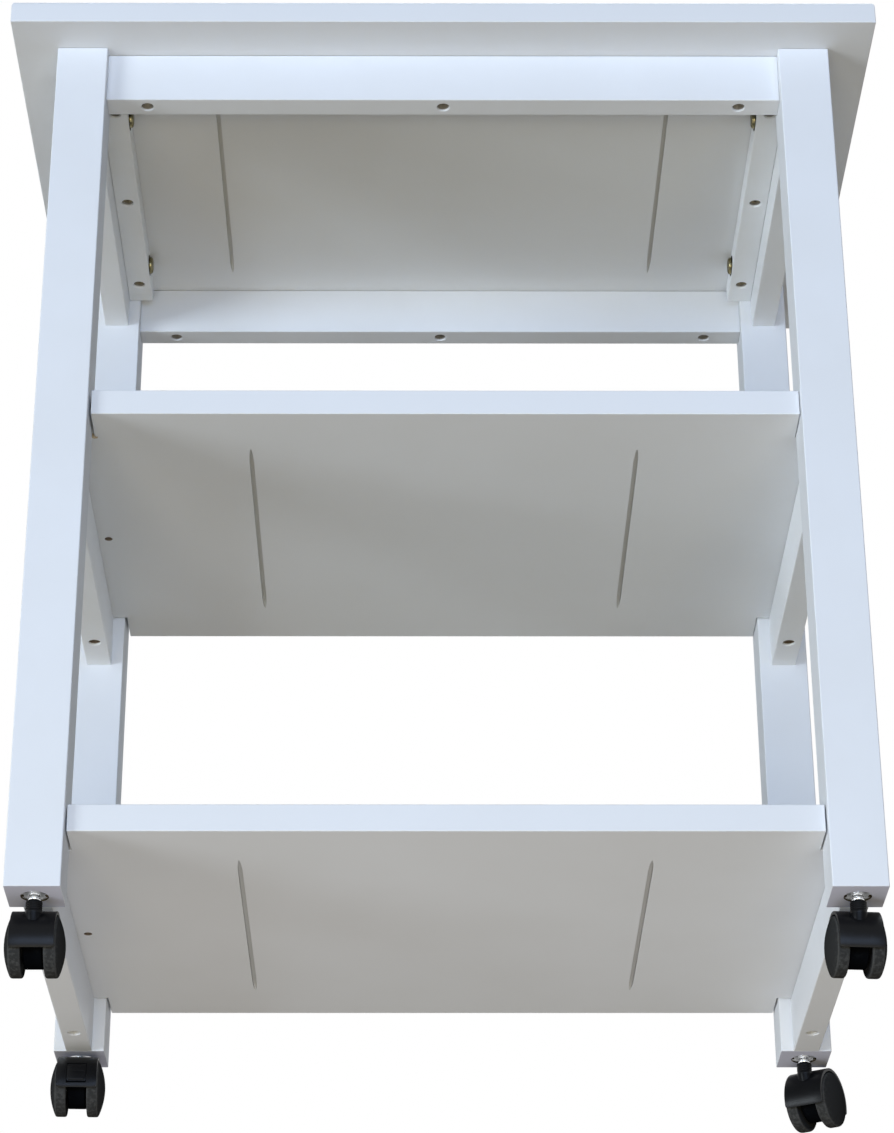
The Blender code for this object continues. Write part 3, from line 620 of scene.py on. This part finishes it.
def grooveShape(shape, x, underside):
    # a saw kerf, shallower and narrower towards its ends
    reach = outerY - groove["margin"]
    stations = [(-reach + groove["runOut"] * share, math.sqrt(share)) for share in groove["shares"]]
    stations += [(-y, fullness) for y, fullness in reversed(stations)]
    faces = []
    for y, fullness in stations:
        half = groove["width"] / 2 * (groove["tip"] + (1 - groove["tip"]) * fullness)
        low, high = underside - cutOver, underside + groove["depth"] * fullness + groove["tipDepth"]
        if not faces:
            section = ((x - half, low), (x + half, low), (x + half, high), (x - half, high))
            faces.append(shape.faces.new([shape.verts.new((across, y, up)) for across, up in section]))
            continue
        pushed = bmesh.ops.extrude_face_region(shape, geom=faces[-1:])["geom"]
        faces += onlyKind(pushed, bmesh.types.BMFace)
        for vert in faces[-1].verts:
            across = x + math.copysign(half, vert.co.x - x)
            vert.co = (across, y, high if vert.co.z > underside else low)
    bmesh.ops.delete(shape, geom=faces[1:-1], context="FACES_ONLY")  # only the two end faces stay
    bmesh.ops.recalc_face_normals(shape, faces=shape.faces)


def cutGrooves(piece, apart, underside):
    kerfs = bmesh.new()
    for sign in (-1, 1):
        grooveShape(kerfs, sign * apart / 2, underside)
    # the kerf walls take the darker paint, painted shade
    carve(piece, kerfs, [kerfPaintedShade])


def topPiece():
    low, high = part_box("top_board")
    shape = bmesh.new()
    addBox(shape, low, high)
    weights = shape.edges.layers.float.new("bevel_weight_edge")
    middle = (low.z + high.z) / 2
    for edge in shape.edges:
        upper = all(vert.co.z > middle for vert in edge.verts)
        edge[weights] = 1.0 if upper else board["ease"] / board["topRound"]
    top = newPiece("top_board_wood", shape, [boardWhite], "cart", ["top_board"])
    eased = top.modifiers.new("eased", "BEVEL")
    eased.limit_method, eased.width, eased.segments = "WEIGHT", board["topRound"], board["segments"]
    cutGrooves(top, groove["top"], low.z)
    weightNormals(top)


blindHole = {"radius": 0.0025, "depth": 0.006, "lip": 0.0003, "beside": 0.007, "shift": 0.010, "sides": 20}


def shelfPiece(level, paint):
    low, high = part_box(level + "_shelf")
    shift = (low.x + high.x) / 2
    notchX, notchY = innerX - board["notchGap"], innerY - board["notchGap"]
    quarter = [(notchX, high.y), (notchX, notchY), (high.x - shift, notchY)]
    outline = []
    for flipX, flipY, order in ((1, 1, 1), (1, -1, -1), (-1, -1, 1), (-1, 1, -1)):
        outline += [(shift + flipX * x, flipY * y) for x, y in quarter[::order]]
    shape = bmesh.new()
    face = shape.faces.new([shape.verts.new((x, y, low.z)) for x, y in outline])
    pushed = bmesh.ops.extrude_face_region(shape, geom=[face])["geom"]
    bmesh.ops.translate(shape, verts=onlyKind(pushed, bmesh.types.BMVert), vec=(0, 0, high.z - low.z))
    bmesh.ops.recalc_face_normals(shape, faces=shape.faces)
    roundOff(shape, shape.edges[:], board["ease"], board["segments"] - 1)
    shelf = newPiece(level + "_shelf_wood", shape, [paint], "cart", [level + "_shelf"])
    cutGrooves(shelf, groove["shelf"], low.z)
    radius, depth, lip = blindHole["radius"], blindHole["depth"], blindHole["lip"]
    profile = [(0, depth), (radius, depth), (radius, lip), (radius + lip, 0), (radius + lip, -cutOver), (0, -cutOver)]
    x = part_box(f"left_{level}_stretcher")[1].x + blindHole["beside"]
    hole = bmesh.new()
    lathe(hole, profile, blindHole["sides"], Matrix.Translation((x, blindHole["shift"], low.z)))
    carve(shelf, hole, [bareBoard])
    weightNormals(shelf)


topPiece()
shelfPiece("middle", chippedWhite)
shelfPiece("bottom", boardWhite)
print("top and shelves made")


# screws
screw = {
    "head": 0.0034, "height": 0.0024, "shank": 0.0019, "length": 0.020,
    "cross": 0.0021, "arm": 0.62, "armHalf": 0.2, "deep": 0.0011, "taper": 0.72,  # arms as shares of the cross
    "ease": 0.0004, "point": 0.003, "pointRadius": 0.0004, "sharp": 30.0,
}


def crossHead(shape):
    # round flat head with a cross recess, its face down
    size, arm, armHalf = screw["cross"], screw["arm"], screw["armHalf"]
    lines = (armHalf, arm, 1.0)  # grid lines out from the middle
    for vert in bmesh.ops.create_grid(shape, x_segments=5, y_segments=5, size=0.5)["verts"]:
        square = Vector([math.copysign(lines[abs(round(value * 10)) // 2], value) for value in vert.co.xy])
        onRim = max(map(abs, square)) > 0.9
        vert.co.xy = (square.normalized() if onRim else square) * size
    arms = []
    for face in shape.faces:
        reach = sorted(abs(value) / size for value in face.calc_center_median().xy)
        if reach[0] < armHalf and reach[1] < arm:
            arms.append(face)
    edges = [edge for edge in shape.edges if edge.is_boundary]
    sunk = onlyKind(bmesh.ops.extrude_face_region(shape, geom=arms)["geom"], bmesh.types.BMVert)
    bmesh.ops.delete(shape, geom=arms, context="FACES_ONLY")
    bmesh.ops.translate(shape, verts=sunk, vec=(0, 0, screw["deep"]))
    bmesh.ops.scale(shape, verts=sunk, vec=(screw["taper"], screw["taper"], 1))
    head, height, shank, length = (screw[key] for key in ("head", "height", "shank", "length"))
    rings = [(0.93 * head, 0.0), (head, screw["ease"]), (head, height * 0.8), (shank, height), (shank, length)]
    rings.append((screw["pointRadius"], length + screw["point"]))
    for radius, rise in rings:
        edges = onlyKind(bmesh.ops.extrude_edge_only(shape, edges=edges)["geom"], bmesh.types.BMEdge)
        for vert in {vert for edge in edges for vert in edge.verts}:
            flat = vert.co.xy.normalized() * radius
            vert.co = (flat.x, flat.y, rise)
    bmesh.ops.holes_fill(shape, edges=edges)
    bmesh.ops.recalc_face_normals(shape, faces=shape.faces)


def screwPiece(name, x, y, seat, stands=()):
    shape = bmesh.new()
    crossHead(shape)
    turn = Matrix.Rotation((x * 37 + y * 91) % 1 * math.pi, 4, "Z")  # each cross stands its own way
    place = Matrix.Translation((x, y, seat - screw["height"]))
    bmesh.ops.transform(shape, matrix=place @ turn, verts=shape.verts)
    newPiece(name, shape, [agedZinc], "cart", stands, screw["sharp"])


for member in ("front_rail", "back_rail", "left_batten", "right_batten"):
    for index, (x, y) in enumerate(screwPlaces(member), 1):
        node = f"{member}_screw_{index}"
        screwPiece(node + "_cross", x, y, legTop - bore["grip"] - stock["fit"], [node])
for side in sides:
    for level in levels:
        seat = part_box(level + "_shelf")[0].z - bore["grip"] - 2 * stock["fit"]
        for end, (x, y) in zip(ends, shelfScrewPlaces(side, level)):
            screwPiece(f"{side}_{level}_shelf_screw_{end}", x, y, seat)
print("screws made")


# connector bolts
bolt = {
    "head": 0.0065, "height": 0.0025, "shank": 0.003, "length": 0.031,
    "slot": 0.0014, "deep": 0.0010, "sides": 40, "sharp": 35.0,
}


def boltPiece(end, side):
    node = f"connector_bolt_{end}_{side}"
    radius, height, shank, length = (bolt[key] for key in ("head", "height", "shank", "length"))
    profile = [
        (0, 0), (radius * 0.72, 0), (radius * 0.86, height * 0.10), (radius * 0.96, height * 0.32),
        (radius, height * 0.62), (radius, height * 0.92), (radius * 0.97, height),
        (shank, height), (shank, length), (0, length),
    ]
    shape = bmesh.new()
    lathe(shape, profile, bolt["sides"])
    piece = newPiece(node + "_slotted", shape, [dullBrass], "cart", [node], bolt["sharp"])
    half = bolt["slot"] / 2
    slot = bmesh.new()
    addBox(slot, (-2 * radius, -half, -cutOver), (2 * radius, half, bolt["deep"]))
    carve(piece, slot, [dullBrass])
    low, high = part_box(node)
    face, sign = (low.x, 1) if side == "right" else (high.x, -1)
    turn = Matrix.Rotation(sign * math.pi / 2, 4, "Y")
    piece.data.transform(Matrix.Translation((face, (low.y + high.y) / 2, (low.z + high.z) / 2)) @ turn)
    shadeEdges(piece, bolt["sharp"])


for end in ends:
    for side in sides:
        boltPiece(end, side)


# inserts and stems
insert = {
    "flange": 0.0088, "height": 0.0014, "body": 0.005, "length": 0.0214, "bore": 0.0034, "chamfer": 0.0005,
    "notch": 0.0022, "across": 0.004, "notchRound": 0.0009, "sides": 56, "sharp": 35.0,
}


def insertPiece(corner):
    node = "insert_" + corner
    place = middleOf(node)
    x, y, z = place.x, place.y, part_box(node)[0].z
    flange, height, body, length = (insert[key] for key in ("flange", "height", "body", "length"))
    hole, chamfer = insert["bore"], insert["chamfer"]
    profile = [
        (hole, 0.0004), (hole + chamfer, 0), (flange - chamfer, 0), (flange - 0.0001, 0.0002), (flange, 0.0006),
        (flange, height), (body, height), (body, length), (hole, length), (hole, 0.0004),
    ]
    shape = bmesh.new()
    lathe(shape, profile, insert["sides"], Matrix.Translation((x, y, z)))
    piece = newPiece(node + "_flange", shape, [plateSteel], "cart", [node])
    notches = bmesh.new()
    half = insert["across"] / 2
    for sign in (-1, 1):
        near, far = sorted((x + sign * (flange - insert["notch"]), x + sign * 2 * flange))
        addBox(notches, (near, y - half, z - cutOver), (far, y + half, z + 2 * height))
    upright = [edge for edge in notches.edges if runAlong(edge, 2) > height]
    roundOff(notches, upright, insert["notchRound"], 4)
    # the notch walls take the near-black board, painted shade
    carve(piece, notches, [recessPaintedShade])
    shadeEdges(piece, insert["sharp"])


stem = {
    "radius": 0.0033, "ease": 0.0004, "bead": 0.0007, "span": (0.0428, 0.0451), "beadSteps": 8,
    "thread": 0.003, "pitch": 0.001, "threadDepth": 0.0004, "threadStart": 0.0006, "sides": 36,
}


def stemPiece(corner):
    node = "stem_" + corner
    low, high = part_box(node)
    radius, ease = stem["radius"], stem["ease"]
    profile = [(0, low.z), (radius - ease, low.z), (radius, low.z + ease)]
    start, stop = stem["span"]
    for step in range(stem["beadSteps"] + 1):  # a round bead between boss and leg
        angle = math.pi * step / stem["beadSteps"]
        rise = (stop - start) * (1 - math.cos(angle)) / 2
        profile.append((radius + stem["bead"] * math.sin(angle), start + rise))
    crest, pitch = stem["thread"], stem["pitch"]
    z = legBottom + stem["threadStart"]
    while z < high.z - pitch:
        profile += [(crest - stem["threadDepth"], z), (crest, z + pitch / 2)]
        z += pitch
    profile += [(crest - 0.0005, high.z - 0.0002), (0, high.z)]
    shape = bmesh.new()
    lathe(shape, profile, stem["sides"], Matrix.Translation(((low.x + high.x) / 2, (low.y + high.y) / 2, 0)))
    newPiece(node + "_pin", shape, [brightSteel], "cart", [node])


for corner in corners:
    insertPiece(corner)
    stemPiece(corner)
print("bolts, inserts and stems made")


# casters, each built about its swivel axis with the axle behind it, then set in place
axleY, axleZ = 0.016, 0.019
toAxle = Matrix.Translation((0, axleY, axleZ))
acrossAxle = Matrix.Rotation(math.pi / 2, 4, "Y")


def casterPlace(corner):
    spin, swivel = joints[f"spin_{corner}_left"], joints["swivel_" + corner]
    along, upward = Vector(spin["axis"]), Vector((0, 0, 1))
    turned = Matrix((along, upward.cross(along), upward)).transposed().to_4x4()
    return Matrix.Translation((swivel["pos_m"][0], swivel["pos_m"][1], 0)) @ turned


def onArc(x, radius, degrees):
    angle = math.radians(degrees)
    return Vector((x, radius * math.cos(angle), radius * math.sin(angle)))


def arcSheet(shape, across, radius, stops, steps):
    # a strip on the arc of the hood: a row of points across, swept through the stops in degrees
    chain = [shape.verts.new(onArc(x, radius, stops[0])) for x in across]
    row = chain + [shape.edges.new(pair) for pair in zip(chain, chain[1:])]
    for start, stop, count in zip(stops, stops[1:], steps):
        swept = bmesh.ops.spin(
            shape, geom=row, cent=(0, 0, 0), axis=(1, 0, 0), angle=math.radians(stop - start), steps=count
        )
        row = swept["geom_last"]


def roundCorners(shape, width, segments):
    tips = [vert for vert in shape.verts if len(vert.link_edges) == 2]
    roundOff(shape, tips, width, segments, "VERTICES")


def thicken(shape, wall, ease, segments):
    # gives a sheet its wall towards the axle, then rounds its arrises
    bmesh.ops.recalc_face_normals(shape, faces=shape.faces)
    outward = sum(face.normal.dot(face.calc_center_median() * Vector((0, 1, 1))) for face in shape.faces)
    if outward < 0:
        bmesh.ops.reverse_faces(shape, faces=shape.faces)
    bmesh.ops.solidify(shape, geom=shape.faces[:], thickness=wall)
    bmesh.ops.recalc_face_normals(shape, faces=shape.faces)
    limit = math.radians(50)
    arrises = [edge for edge in shape.edges if len(edge.link_faces) == 2 and edge.calc_face_angle(0) > limit]
    roundOff(shape, arrises, ease, segments)


hood = {
    "radius": 0.022, "wall": 0.002, "width": 0.0276, "rear": -14.0, "front": 200.0,
    "corner": 0.0018, "ease": 0.0005, "steps": (30, 8, 2),
    "windowLow": -6.2, "windowHigh": 35.2, "windowWidth": 0.0136,  # for the brake lever
    "web": 0.0065, "webSpan": (194.0, -9.8), "webSteps": 24, "axle": 0.0028,
    "drum": 0.0136, "drumGap": 0.0002, "drumEase": 0.0006, "drumStep": 0.0004, "drumRim": 0.003, "drumSides": 56,
    "boss": 0.0052, "bossTop": 0.0425, "bossLength": 0.008, "bossEase": 0.0002, "bossSides": 40,
    "bore": 0.0036, "boreDepth": 0.003, "ridges": 4, "ridgePitch": 0.0012,
    "tail": 0.0095, "tailSlant": 0.36,  # the boss runs back into the hood
}


def hoodShell(corner):
    shell = bmesh.new()
    half, gap = hood["width"] / 2, hood["windowWidth"] / 2
    stops = (hood["front"], hood["windowHigh"], hood["windowLow"], hood["rear"])
    arcSheet(shell, (-half, -gap, gap, half), hood["radius"], stops, hood["steps"])
    if corner in braked:
        window = []
        for face in shell.faces:
            middle = face.calc_center_median()
            angle = math.degrees(math.atan2(middle.z, middle.y))
            if abs(middle.x) < gap and hood["windowLow"] < angle < hood["windowHigh"]:
                window.append(face)
        bmesh.ops.delete(shell, geom=window, context="FACES")
    roundCorners(shell, hood["corner"], 5)
    thicken(shell, hood["wall"], hood["ease"], 3)
    return shell


def hoodWeb():
    # the wall between the wheels, from the hood in to the axle
    web = bmesh.new()
    radius = hood["radius"] - hood["wall"] / 2
    arcSheet(web, (-hood["web"], hood["web"]), radius, hood["webSpan"], (hood["webSteps"],))
    bmesh.ops.recalc_face_normals(web, faces=web.faces)
    pushed = bmesh.ops.extrude_face_region(web, geom=web.faces[:])["geom"]
    for vert in onlyKind(pushed, bmesh.types.BMVert):
        flat = Vector((0, vert.co.y, vert.co.z)).normalized() * hood["axle"]
        vert.co = (vert.co.x, flat.y, flat.z)
    bmesh.ops.recalc_face_normals(web, faces=web.faces)
    return web


def hoodBoss():
    top, boss, hole = hood["bossTop"], hood["boss"], hood["bore"]
    low, step, ease = top - hood["bossLength"], hood["ridgePitch"] / 4, hood["bossEase"]
    z = top - hood["ridgePitch"] * (hood["ridges"] + 1)
    profile = [(0, low - hood["tail"]), (boss, low - hood["tail"]), (boss, low), (boss, z - 2 * step)]
    for ridge in range(hood["ridges"]):
        profile += [(boss - step, z), (boss - step, z + step), (boss, z + 2 * step), (boss, z + 3 * step)]
        z += hood["ridgePitch"]
    profile += [
        (boss, top - 2 * step), (boss - ease, top - ease), (boss - 2 * step, top), (hole + step, top),
        (hole, top - step), (hole, top - hood["boreDepth"]), (0, top - hood["boreDepth"]),
    ]
    stub = bmesh.new()
    lathe(stub, profile, hood["bossSides"])
    for vert in stub.verts:
        vert.co.y += hood["tailSlant"] * max(0, low - vert.co.z)
    for face in stub.faces:
        face.material_index = 2 if face.calc_center_median().z < low else 0
    return stub


def hoodPiece(corner):
    shape = hoodShell(corner)
    outer = set(shape.faces)
    addShape(shape, hoodWeb())
    radius, step, ease = hood["drum"], hood["drumStep"], hood["drumEase"]
    cheek, rim = hood["web"] - hood["drumGap"], radius - hood["drumRim"]
    drum = [(hood["axle"], cheek), (rim, cheek), (rim + step, cheek - step)]
    drum = mirrored(drum + [(radius - ease, cheek - step), (radius, cheek - step - ease)])
    lathe(shape, drum + drum[:1], hood["drumSides"], acrossAxle)
    for face in shape.faces:
        face.material_index = 0 if face in outer else 1
    bmesh.ops.transform(shape, matrix=toAxle, verts=shape.verts)
    addShape(shape, hoodBoss())
    bmesh.ops.transform(shape, matrix=casterPlace(corner), verts=shape.verts)
    node = "hood_" + corner
    finishes = [hoodBlack, drumBlack, bossBlack]
    newPiece(node + "_shell", shape, finishes, "caster_" + corner, [node])


wheel = {
    "radius": 0.019, "inner": 0.007, "face": 0.0188, "crown": 0.0044, "bore": 0.0028, "hub": 0.0062,
    "dish": 0.0008, "boreDepth": 0.0076, "steps": 72, "sharp": 32.0,
    "faceShares": (0, 0.12, 0.25, 0.4, 0.55, 0.7, 0.8, 0.88, 0.925),
    # each edge: in from the tread, out from the rim, band of wear and painted highlight
    "outerEdge": (
        (0.0009, 0.00035, 0.5), (0.0005, 0.0001, 1.0), (0.0002, -0.0003, 1.0), (0.00005, -0.0009, 0.6),
        (0, -0.0015, 0.5),
    ),
    "innerEdge": (
        (0, 0.0018, 0.5), (0.00005, 0.0010, 0.7), (0.0003, 0.0004, 1.0), (0.0007, 0.0001, 0.7), (0.0012, 0, 0.2),
        (0.0022, 0, 0), (0.0027, 0.0008, 0),
    ),
}


def wheelPiece(corner, side):
    # radius, distance from the caster's middle, band
    radius, inner, rim = wheel["radius"], wheel["inner"], wheel["face"] - wheel["crown"]
    line = []
    for share in wheel["faceShares"]:
        line.append((radius * share, wheel["face"] - wheel["crown"] * share**2, 0.25 * share**6))
    line += [(radius - cut, rim + out, wearAndHighlight) for cut, out, wearAndHighlight in wheel["outerEdge"]]
    line += [(radius - cut, inner + out, wearAndHighlight) for cut, out, wearAndHighlight in wheel["innerEdge"]]
    hub, hole, deep = wheel["hub"], wheel["bore"], inner + wheel["boreDepth"]
    line += [(hub, inner + wheel["dish"], 0), (hub - wheel["dish"] / 2, inner, 0), (hole, inner, 0)]
    line += [(hole, deep, 0), (0, deep, 0)]
    shape = bmesh.new()
    turn = Matrix.Rotation(math.pi / 2 if side == "right" else -math.pi / 2, 4, "Y")
    lathe(shape, [(r, h) for r, h, wearAndHighlight in line], wheel["steps"], turn)
    band = shape.verts.layers.float.new("treadBand")
    for vert in shape.verts:
        place = (Vector((0, vert.co.y, vert.co.z)).length, abs(vert.co.x))
        vert[band] = min(line, key=lambda point: abs(point[0] - place[0]) + abs(point[1] - place[1]))[2]
    bmesh.ops.transform(shape, matrix=casterPlace(corner) @ toAxle, verts=shape.verts)
    node = f"wheel_{corner}_{side}"
    newPiece(node + "_tread", shape, [wheelBlack], node, [node], wheel["sharp"])


lever = {
    "width": 0.013, "low": -3.0, "high": 32.0, "corner": 0.0014, "ease": 0.0004, "steps": 12,
    "ribs": ((-2.2, 5.2, 0.0014), (17.0, 3.0, 0.0002)), "ribInset": 0.001,  # start, span and rise of each
    "pivot": 0.0165, "pivotAngle": 40.0, "hub": 0.0022, "pin": 0.001, "gap": 0.0003,
    "arm": 0.0076, "armEase": 0.0003, "armSteps": 5, "linkGap": 0.0002,
}


def leverPiece(corner):
    radius, low, high, gap = hood["radius"], lever["low"], lever["high"], lever["gap"]
    half = lever["width"] / 2
    plate = bmesh.new()
    arcSheet(plate, (-half, half), radius, (low, high), (lever["steps"],))
    roundCorners(plate, lever["corner"], 4)
    thicken(plate, hood["wall"], lever["ease"], 3)
    inset = half - lever["ribInset"]
    for start, span, rise in lever["ribs"]:
        rib = bmesh.new()
        arcSheet(rib, (-inset, inset), radius + rise, (start, start + span), (4,))
        thicken(rib, rise + lever["ribInset"], min(0.0005, rise * 0.8), 3)
        addShape(plate, rib)
    # an arm under the plate, a link to the hub, and the hub with its two pins
    width, hub, pivot = lever["arm"] / 2, lever["hub"], lever["pivot"]
    under = radius - hood["wall"] / 2
    arm = bmesh.new()
    arcSheet(arm, (-width, width), under, (high / 3, high * 0.9), (lever["armSteps"],))
    thicken(arm, under - pivot + hub / 2, lever["armEase"], 2)
    addShape(plate, arm)
    link = bmesh.new()
    slim = width - lever["linkGap"]
    arcSheet(link, (-slim, slim), pivot + hub / 2, (high / 2, lever["pivotAngle"]), (lever["armSteps"],))
    thicken(link, hub - gap, lever["armEase"], 2)
    addShape(plate, link)
    reach, across = hood["web"] - gap, width - gap
    profile = mirrored([(0, -reach), (lever["pin"], -reach), (lever["pin"], -across), (hub, -across)])
    lathe(plate, profile, 24, Matrix.Translation(onArc(0, pivot, lever["pivotAngle"])) @ acrossAxle)
    bmesh.ops.transform(plate, matrix=casterPlace(corner) @ toAxle, verts=plate.verts)
    node = "brake_lever_" + corner
    newPiece(node + "_pedal", plate, [hoodBlack], node, [node])


for corner in corners:
    hoodPiece(corner)
    for side in sides:
        wheelPiece(corner, side)
    if corner in braked:
        leverPiece(corner)
    axle = frame["nodes"]["axle_" + corner]
    axle.data.materials.clear()
    axle.data.materials.append(brightSteel)
print("casters made")


# stage and light
stage = {"reach": 5.0, "colour": (0.80, 0.77, 0.725), "roughness": 0.9, "gloss": 0.1, "fade": (1.3, 3.2)}


def layFloor():
    shape = bmesh.new()
    bmesh.ops.create_grid(shape, x_segments=1, y_segments=1, size=stage["reach"])
    mesh = bpy.data.meshes.new("floor")
    shape.to_mesh(mesh)
    shape.free()
    floor = bpy.data.objects.new("floor", mesh)
    scene.collection.objects.link(floor)
    values = {"Roughness": stage["roughness"], "Specular IOR Level": stage["gloss"]}
    values["Base Color"] = (*stage["colour"], 1)
    material, tree, shader, where = newMaterial("floorPale", values)
    apart = addNode(tree, "ShaderNodeVectorMath", {0: where}, operation="LENGTH").outputs["Value"]
    path = addNode(tree, "ShaderNodeLightPath").outputs
    far = addMath(tree, "MULTIPLY", addRange(tree, apart, *stage["fade"]), path["Is Camera Ray"])
    white = addNode(tree, "ShaderNodeEmission", {"Color": (1, 1, 1, 1), "Strength": 1.0}).outputs[0]
    clear = addNode(tree, "ShaderNodeBsdfTransparent").outputs[0]
    seen = addNode(tree, "ShaderNodeMixShader", {0: far, 1: shader.outputs[0], 2: white}).outputs[0]
    under = addNode(tree, "ShaderNodeNewGeometry").outputs["Backfacing"]  # nothing shows from below
    both = addNode(tree, "ShaderNodeMixShader", {0: under, 1: seen, 2: clear}).outputs[0]
    tree.links.new(both, tree.nodes["Material Output"].inputs["Surface"])
    mesh.materials.append(material)
    floor.visible_shadow = floor.visible_glossy = floor.visible_diffuse = False  # low lamps shine up through it


room = {"colour": (1.0, 0.938, 0.835), "strength": 0.13}


def paintRoom():
    world = bpy.data.worlds.new("room")
    scene.world = world
    world.use_nodes = True
    tree = world.node_tree
    tree.nodes.clear()
    path = addNode(tree, "ShaderNodeLightPath").outputs
    seen = addMath(tree, "MAXIMUM", path["Is Camera Ray"], path["Is Glossy Ray"])
    seen = addMath(tree, "MAXIMUM", seen, path["Is Transmission Ray"])
    values = {"Color": (*room["colour"], 1), "Strength": room["strength"]}
    soft = addNode(tree, "ShaderNodeBackground", values).outputs[0]
    white = addNode(tree, "ShaderNodeBackground", {"Color": (1, 1, 1, 1), "Strength": 1.0}).outputs[0]
    mix = addNode(tree, "ShaderNodeMixShader", {0: seen, 1: soft, 2: white}).outputs[0]
    tree.links.new(mix, tree.nodes.new("ShaderNodeOutputWorld").inputs["Surface"])


# place, aim, size, power, colour
lamps = {
    "key": ((0.2, -5.9, 0.1), (0, 0, 0.36), (5.0, 1.6), 201, (0.51, 0.68, 1.0)),
    "side": ((-6.5, -4.0, -1.0), (0, 0, 0.36), (2.9, 2.2), 330, (0.83, 0.925, 1.0)),
    "low": ((0, -0.16, -0.55), (0, -0.16, 0.1), (0.7, 0.7), 1.0, (0.93, 0.93, 1.0)),
    "front": ((0, -4.0, -2.2), (0, 0, 0.3), (3.2, 1.4), 63, (1.0, 0.88, 0.60)),
    "warm": ((-1.3, -0.6, -0.9), (0.1, 0, 0.3), (0.9, 0.9), 1.4, (1.0, 0.88, 0.77)),
    "back": ((0.3, 5.0, 1.0), (0, 0, 0.36), (3.0, 1.6), 150, (0.92, 0.96, 1.0)),
    "top": ((0.6, 0.5, 3.2), (0, 0, 0.4), (2.2, 2.2), 55, (0.84, 0.94, 1.0)),
}


def hangLamp(name, place, aim, size, power, colour):
    light = bpy.data.lights.new(name, "AREA")
    light.shape, light.energy, light.color = "RECTANGLE", power, colour
    light.size, light.size_y = size
    source = bpy.data.objects.new(name, light)
    turned = (Vector(aim) - Vector(place)).to_track_quat("-Z", "Y").to_matrix().to_4x4()
    source.matrix_world = Matrix.Translation(place) @ turned
    source.visible_camera = False
    source.visible_glossy = name != "back"  # it would glint on the back hoods
    scene.collection.objects.link(source)


layFloor()
paintRoom()
for name, lamp in lamps.items():
    hangLamp(name, *lamp)
print("stage and lights set")
